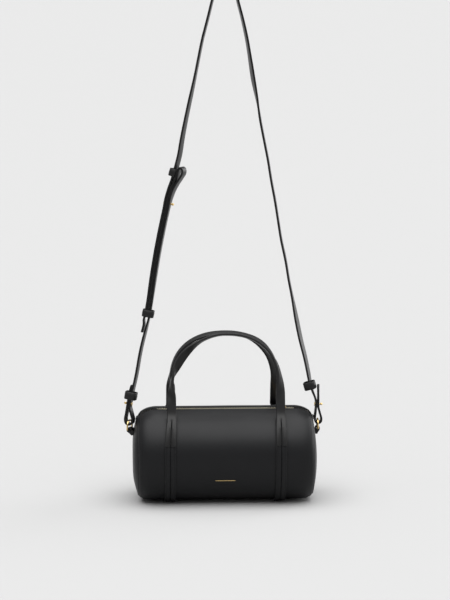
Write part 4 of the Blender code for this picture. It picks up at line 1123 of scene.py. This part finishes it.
def makeRings():
    r = ringSizes
    half, corner, step = r["halfOpening"] + wireRadius, r["corner"], r["cornerStep"]
    route = []
    for a in spread(-math.pi / 2, 0.0, step):
        route.append((half - corner + corner * math.cos(a), corner * (1 + math.sin(a))))
    for a in spread(0.0, math.pi, r["archStep"]):
        route.append((half * math.cos(a), r["leg"] + half * math.sin(a)))
    for a in spread(-math.pi, -math.pi / 2, step):
        route.append((corner - half + corner * math.cos(a), corner * (1 + math.sin(a))))
    for side, word in sides:
        swing = Matrix.Rotation(-r["turn"][side], 3, "Z")
        line = [(ringPlace(side) + swing @ Vector((0, y, z)), swing @ Vector((1, 0, 0))) for y, z in route]
        runAlong("ring" + word, "wire", [line], "goldPlate", ["d_ring_" + word.lower()],
                 word.lower() + "_ring", closed=True, Radius=wireRadius, Sides=r["sides"])


def makeTab(side, word):
    t, centre = tabSizes, ringPlace(side)
    fold = wireRadius + t["slack"] + t["leather"] / 2

    def panel(rise):  # from the ring's bar out to the end panel
        return domeReach(side, ringSizes["barRise"] + rise) - abs(centre.x)

    seat = panel(-t["drop"]) + gap / 2 + t["leather"] / 2
    outer = seat + t["leather"] + gap
    low, middle, high = [-t["drop"] * share for share in t["dropShares"]]
    route = [(seat, low), (seat, middle), (seat, high)]
    for a in spread(math.pi, 0.0, ringSizes["cornerStep"]):
        route.append(((fold if math.cos(a) > 0 else -seat) * math.cos(a), fold * math.sin(a)))
    halfway = outer * t["outerShare"] + fold * (1 - t["outerShare"])
    route += [(fold * t["foldShare"], high), (halfway, middle), (outer, low)]
    layered = len(t["dropShares"])
    rows = []
    for i, (reach, rise) in enumerate(route):
        before, after = neighbours(route, i)
        along = Vector((after[0] - before[0], 0, after[1] - before[1])).normalized()
        out = Vector((-along.z, 0, along.x))
        swing = Matrix.Rotation(-ringSizes["turn"][side] * ease(1 + rise / t["drop"]) * side, 3, "Z")
        row = []
        for a, b in roundSection(t["width"], t["leather"], t["rim"], 3):
            p = Vector((reach, 0, rise)) + out * b
            if i >= len(route) - layered and b < 0:  # the outer layer lies on the inner one
                p.x = seat + t["leather"] / 2
            p = swing @ Vector((p.x, a, p.z))
            if i < layered and b > 0:  # and the inner one on the end panel
                p.x = panel(p.z)
            row.append(centre + Vector((side * p.x, p.y, p.z)))
        rows.append(row)
    makePiece("ringTab" + word, ["strapLeather"], ["ring_tab_" + word.lower()], rows)


makeRings()
for side, word in sides:
    makeTab(side, word)
print("rings and tabs")


# Shoulder strap
strapSizes = {
    "width": 0.010,
    "thick": 0.00265,
    "rim": 0.0004,
    "rise": 0.592,
    "loopSeat": 0.0020,
    "loopHalfGap": {-1: 0.0035, 1: 0.0027},
    "loopShift": {-1: 0.0, 1: 0.0006},
    "loopWaistShare": 0.45,
    "tipLength": 0.004,
    "tipWidthShare": 0.62,
    "edgeShare": 0.8,  # of the rim, from where on a face is painted
    "topBendShares": (0.62, 0.99),
    "crease": 60,
}
# Routes: (share of the ring's distance from the middle, share of the strap's rise)
leftLine = [
    (-1.000, 0.0485), (-0.985, 0.067), (-0.964, 0.088), (-0.937, 0.112), (-0.914, 0.146), (-0.885, 0.179),
    (-0.850, 0.210), (-0.805, 0.249), (-0.782, 0.277), (-0.750, 0.321), (-0.716, 0.365), (-0.677, 0.409),
    (-0.634, 0.452), (-0.588, 0.495),
]
foldLine = [
    (-0.530, 0.515), (-0.490, 0.530), (-0.446, 0.543), (-0.414, 0.555), (-0.417, 0.562),
    (-0.440, 0.5655), (-0.464, 0.561), (-0.482, 0.551), (-0.504, 0.537), (-0.540, 0.521),
]
tailLeft = [(-0.864, 0.207), (-0.843, 0.226)]
longLeft = [
    (-0.573, 0.521), (-0.530, 0.545), (-0.505, 0.564), (-0.470, 0.592), (-0.444, 0.625), (-0.404, 0.668),
    (-0.360, 0.711), (-0.315, 0.754), (-0.275, 0.796), (-0.233, 0.839), (-0.181, 0.881), (-0.130, 0.924),
    (-0.082, 0.966),
]
longRight = [
    (0.084, 0.966), (0.131, 0.924), (0.186, 0.881), (0.231, 0.839), (0.266, 0.796), (0.299, 0.753),
    (0.340, 0.710), (0.374, 0.667), (0.415, 0.624), (0.457, 0.581), (0.491, 0.538), (0.532, 0.494),
    (0.566, 0.451), (0.601, 0.407), (0.648, 0.363), (0.684, 0.319), (0.727, 0.276), (0.770, 0.231),
    (0.815, 0.187), (0.859, 0.152), (0.902, 0.110), (0.921, 0.089), (0.943, 0.075),
]
# Heights on the strap as shares of its rise
strapShares = {
    "studLeft": 0.0485,
    "studRight": 0.0448,
    "studRightLean": 0.994,  # this one a share of the ring's distance
    "studAdjuster": 0.4885,
    "tip": 0.089,
    "stackLow": 0.234,
    "insideEnd": 0.2405,
    "stackTop": 0.495,
}
# How far the strap is turned: (share of its rise, degrees)
turnShares = {
    -1: [(0.02, 18.0), (0.10, 18.0), (0.20, 17.0), (0.245, 6.0), (0.28, 6.0), (0.33, 11.0), (0.47, 12.0),
         (0.525, 29.0), (0.57, 31.0), (0.70, 22.0), (0.78, 12.0), (0.95, 11.0), (1.0, 0.0)],
    1: [(0.055, 0.0), (0.11, 21.0), (0.22, 26.0), (0.30, 8.0), (0.67, 7.0), (0.76, -20.0), (0.83, -12.0),
        (0.93, -8.0), (1.0, 0.0)],
}
layerPitch = strapSizes["thick"] + gap


def ringHole(side):
    return ringPlace(side) + Vector((0, 0, ringSizes["leg"]))


def shareHeight(share):
    return ringHole(-1).z + strapSizes["rise"] * share


def placeShares(shares):
    return [Vector((abs(ringHole(-1 if a < 0 else 1).x) * a, shareHeight(r))) for a, r in shares]


# A smooth line through the spots, with points only where it turns or runs long
def smoothRoute(spots, steps=16, turn=math.radians(2), reach=0.007):
    ends = [spots[0] * 2 - spots[1], *spots, spots[-1] * 2 - spots[-2]]
    fine = []
    for a, b, c, d in zip(ends, ends[1:], ends[2:], ends[3:]):
        before, span, after = (b - a).length, (c - b).length, (d - c).length
        leave = ((b - a) * span / before + (c - b) * before / span) * span / (before + span)
        arrive = ((c - b) * after / span + (d - c) * span / after) * span / (span + after)
        for i in range(steps):
            t = i / steps
            fromB, alongB = 2 * t**3 - 3 * t**2 + 1, t**3 - 2 * t**2 + t
            toC, alongC = 3 * t**2 - 2 * t**3, t**3 - t**2
            fine.append(b * fromB + leave * alongB + c * toC + arrive * alongC)
    fine.append(spots[-1])
    kept = [fine[0]]
    for i in range(1, len(fine) - 1):
        here, ahead = fine[i] - kept[-1], fine[i + 1] - fine[i]
        if here.length > reach or here.angle(ahead) > turn:
            kept.append(fine[i])
    return kept + [fine[-1]]


def beside(spots, offset):
    moved = []
    for i, spot in enumerate(spots):
        before, after = neighbours(spots, i)
        along = (after - before).normalized()
        moved.append(spot + Vector((along.y, -along.x)) * offset)
    return moved


def crossing(route, height):  # where the route passes a height, or else its nearest point
    for low, high in zip(route, route[1:]):
        if min(low.y, high.y) <= height <= max(low.y, high.y) and low.y != high.y:
            return low.lerp(high, (height - low.y) / (high.y - low.y))
    return min(route, key=lambda spot: abs(spot.y - height))


def partOf(line, low, high):
    floor, ceiling = shareHeight(low), shareHeight(high)
    inside = [spot for spot in line if floor + gap < spot.y < ceiling - gap]
    return [crossing(line, floor), *inside, crossing(line, ceiling)]


def coarseRoute(spots):  # as the frame's own lines are made
    return smoothRoute(spots, steps=8, turn=math.radians(4), reach=0.015)


def studFoot(side):
    if side < 0:
        return frameLine[0], (frameLine[1] - frameLine[0]).normalized()
    return placeShares([(strapShares["studRightLean"], strapShares["studRight"])])[0], Vector((0, 1))


def endLoop(side):
    hole, s = ringHole(side), strapSizes
    reach = s["loopHalfGap"][side] + s["thick"] / 2
    seat = Vector((hole.x + s["loopShift"][side], hole.z + s["loopSeat"] + reach))
    foot, along = studFoot(side)
    across = Vector((along.y, -along.x)) * side
    half = layerPitch / 2
    level = foot - along * studSizes["flange"]
    waist = level.lerp(seat, s["loopWaistShare"])
    spots = [foot + across * half, level + across * half, waist + across * (half + reach) / 2]
    for angle in spread(0.0, math.pi, math.pi / 6):
        spots.append(seat + Vector((side * math.cos(angle), -math.sin(angle))) * reach)
    return spots + [waist - across * (half + reach) / 2, level - across * half, foot - across * half]


def turnAt(side, height):
    share = (height - ringHole(side).z) / strapSizes["rise"]
    return math.radians(readTable(turnShares[side], share))


def turnedPoint(point, side):
    axis = Vector((crossing(axes[side], point.z).x, ringY, 0))
    return axis + Matrix.Rotation(-turnAt(side, point.z), 3, "Z") @ (point - axis)


def turnedFrame(side, low, high):
    ends = [turnedPoint(Vector((spot.x, ringY, spot.y)), side) for spot in (low, high)]
    middle, run = (ends[0] + ends[1]) / 2, (ends[1] - ends[0]).normalized()
    across = Matrix.Rotation(-turnAt(side, middle.z), 3, "Z") @ Vector((0, 1, 0))
    through = across.cross(run).normalized()
    return Matrix.Translation(middle) @ Matrix((through, run.cross(through), run)).transposed().to_4x4()


def shortSpots():
    half, s = layerPitch / 2, strapShares
    pair = partOf(frameLine, s["studLeft"], s["tip"])
    alone = partOf(frameLine, s["tip"], s["stackLow"])
    stack = partOf(frameLine, s["stackLow"], s["stackTop"])
    inside = partOf(frameLine, s["insideEnd"], s["stackTop"])
    spots = beside(pair, -half)[::-1] + endLoop(-1)[1:-1] + beside(pair, half)
    for i in range(1, len(alone) - 1):
        offset = half + half * ease(i / (len(alone) - 1))
        spots.append(beside(alone[i - 1:i + 2], offset)[1])
    return spots + beside(stack, layerPitch) + placeShares(foldLine) + inside[::-1]


def longSpots():
    half, s = layerPitch / 2, strapShares
    stack = partOf(frameLine, s["stackLow"], s["stackTop"])
    inShare, riseShare = strapSizes["topBendShares"]
    bend = placeShares([(longRight[0][0] * inShare, riseShare)])[0]
    top = [Vector((-bend.x, bend.y)), Vector((0.0, shareHeight(1.0))), bend]
    foot, along = studFoot(1)
    clear = foot + along * studSizes["flange"]
    aside = Vector((half, 0))
    spots = placeShares(tailLeft) + beside(stack, -layerPitch) + placeShares(longLeft) + top
    spots += placeShares(longRight) + [clear - aside] + endLoop(1)[::-1]
    return spots + [clear + aside, Vector((foot.x + half, shareHeight(s["tip"])))]


def makeRibbon(name, spots, node):
    s = strapSizes
    route = smoothRoute(spots)
    runs = runLengths(route)
    section = roundSection(s["width"], s["thick"], s["rim"], 3)
    onEdge = [abs(a) > s["width"] / 2 - s["rim"] * s["edgeShare"] for a, b in section]
    worn = [1.0 if edge else 0.0 for edge in onEdge]
    slots = [1 if edge and following else 0 for edge, following in zip(onEdge, onEdge[1:] + onEdge[:1])]
    rows = []
    for i, spot in enumerate(route):
        before, after = neighbours(route, i)
        along = (after - before).normalized()
        off = Vector((along.y, 0, -along.x))
        side = -1 if spot.x < 0 else 1
        centre = Vector((spot.x, ringY, spot.y))
        tip = min(1.0, min(runs[i], runs[-1] - runs[i]) / s["tipLength"])
        narrow = s["tipWidthShare"] + (1 - s["tipWidthShare"]) * math.sqrt(tip)
        rows.append([turnedPoint(centre + off * b + Vector((0, a * narrow, 0)), side) for a, b in section])
    makePiece(name, ["cordLeather", "paintedEdge"], [node], rows, [worn] * len(rows), slots,
              body="strap", crease=s["crease"])


keeperSizes = {
    "wall": 0.0013,
    "slack": 0.0005,
    "cornerShare": 0.27,
    "rim": 0.0004,
    "swell": 0.00015,
}
# Keepers on the strap: side, share of the rise, breadth, height, how far aside
keeperPlans = {
    "Left": (-1, 0.067, 0.0152, 0.0100, 0.0),
    "Low": (-1, 0.2485, 0.0152, 0.0092, 0.0008),
    "Upper": (-1, 0.554, 0.0095, 0.0100, -0.0013),
    "Right": (1, 0.087, 0.0152, 0.0100, -0.0016),
}


def makeKeepers():
    k, longRun = keeperSizes, coarseRoute(longSpots())
    runs = {"Left": frameLine, "Low": frameLine, "Upper": longRun,
            "Right": [spot for spot in longRun if spot.x > 0]}
    depth = strapSizes["width"] + 2 * (k["slack"] + k["wall"])
    for word, (side, share, breadth, tall, shift) in keeperPlans.items():
        half, rim = tall / 2, k["rim"]
        low, high = [crossing(runs[word], shareHeight(share) + way * half) for way in (-1, 1)]
        stand = turnedFrame(side, low, high) @ Matrix.Translation((shift, 0, 0))
        corner, wall = breadth * k["cornerShare"], k["wall"]
        outer = roundSection(depth, breadth, corner, 6)
        inner = roundSection(depth - 2 * wall, breadth - 2 * wall, corner - wall, 6)
        rows, edges = [], []
        for z, grow in ((-half, -rim), (rim - half, 0), (0, k["swell"]), (half - rim, 0), (half, -rim)):
            long, wide = 1 + 2 * grow / depth, 1 + 2 * grow / breadth
            rows.append([stand @ Vector((b * wide, a * long, z)) for a, b in outer])
            edges.append([0.0 if z == 0 else 1.0] * len(outer))
        for z in (half, 0, -half):
            rows.append([stand @ Vector((b, a, z)) for a, b in inner])
            edges.append([0.0] * len(inner))
        makePiece("strapKeeper" + word, ["strapLeather"], ["keeper_" + word.lower()], rows, edges,
                  closed=True, body=word.lower() + "_keeper")


studSizes = {
    "shank": 0.0012,
    "flange": 0.0026,
    "flangeThick": 0.0007,
    "flangeShares": ((0.7, 0.0), (0.95, 0.0002), (1.0, 0.0005)),  # share of the flange, height above its foot
    "ball": 0.0017,
    "neck": 0.0005,
    "sides": 28,
}


def studProfiles(layers):  # (radius, height) of the base through the layers and of the ball on it
    s = studSizes
    face = (layers * layerPitch + gap) / 2
    shank = face + s["neck"] / 2
    foot = -face - s["flangeThick"]
    base = [(0.0, foot)] + [(s["flange"] * share, foot + high) for share, high in s["flangeShares"]]
    base += [(s["flange"], -face), (s["shank"], -face), (s["shank"], shank), (0.0, shank)]
    low = shank + gap
    head = [(0.0, low), (s["shank"], low)]
    for angle in spread(-math.pi / 3, math.pi / 2, math.pi / 14):
        head.append((s["ball"] * math.cos(angle), low + s["neck"] / 2 + s["ball"] * (1 + math.sin(angle))))
    return {"Base": base, "Head": head}


def makeStuds():
    stack = partOf(frameLine, strapShares["stackLow"], strapShares["stackTop"])
    plans = [(word, side, *studFoot(side), 2, side) for side, word in sides]
    plans.append(("Adjuster", -1, crossing(stack, shareHeight(strapShares["studAdjuster"])),
                  (stack[-1] - stack[-2]).normalized(), 3, 1))
    turns = [2 * math.pi * i / studSizes["sides"] for i in range(studSizes["sides"])]
    for word, side, spot, along, layers, sign in plans:
        reach = along * studSizes["flange"]
        stand = turnedFrame(side, spot - reach, spot + reach) @ Matrix.Rotation(math.pi / 2 * sign, 4, "Y")
        for part, profile in studProfiles(layers).items():
            rows = []
            for a in turns:
                rows.append([stand @ Vector((r * math.cos(a), r * math.sin(a), z)) for r, z in profile])
            node = "stud_%s_%s" % (part.lower(), word.lower())
            makePiece("stud" + part + word, ["goldPlate"], [node], rows, closed=True, tube=False,
                      body="strap", merge=barrel["merge"])


frameLine = coarseRoute(placeShares(leftLine))  # the left middle line exactly as the frame has it
axes = {  # the lines that the strap is turned about
    -1: placeShares([(-1.0, 0.0)] + leftLine + longLeft[3:] + [(0.0, 1.0)]),
    1: placeShares([(1.0, 0.0), (strapShares["studRightLean"], strapShares["studRight"])] + longRight[::-1]
                   + [(0.0, 1.0)]),
}
makeRibbon("strapShort", shortSpots(), "strap_short")
makeRibbon("strapLong", longSpots(), "strap_long")
makeKeepers()
makeStuds()
print("shoulder strap, keepers and studs")


# A plain foil line on the front
foilSizes = {
    "length": 0.026,
    "height": 0.0007,
    "x": -0.0019,
    "angle": math.radians(114.5),
    "proud": 0.0003,
    "steps": 40,
    "least": 0.00005,
}


def makeFoil():
    f = foilSizes
    half, tall = f["length"] / 2, f["height"] / 2
    rows = []
    for i in range(f["steps"] + 1):
        x = -half + f["length"] * i / f["steps"]
        inset = max(0.0, abs(x) - (half - tall))
        reach = max(f["least"], math.sqrt(max(0.0, tall * tall - inset * inset)))
        spots = [f["angle"] + k * reach / radius for k in (-1, 0, 1)]
        place = f["x"] + x
        upper = [barrelPoint(place, a, dip(place, a) - f["proud"]) for a in spots]
        lower = [barrelPoint(place, a, dip(place, a) + f["proud"]) for a in reversed(spots)]
        rows.append(upper + lower)
    makePiece("frontFoilLine", ["goldPlate"], (), rows)


# What stays of the frame gets its own finish; the zip stops take the corner teeth's painted shade
keptLooks = {
    "zip_slider": "goldPlate",
    "zip_pull": "goldPlate",
    # the zip stops sit in the corners and get the same painted shade as the corner teeth
    "zip_stop_left": "cornerShadeTeeth",
    "zip_stop_right": "cornerShadeTeeth",
    "base_board": "fibreBoard",
}


def dressFrame():
    for name, look in keptLooks.items():
        mesh = nodes[name].data
        mesh.materials.clear()
        mesh.materials.append(looks[look])


makeFoil()
dressFrame()
print("foil line and kept pieces")
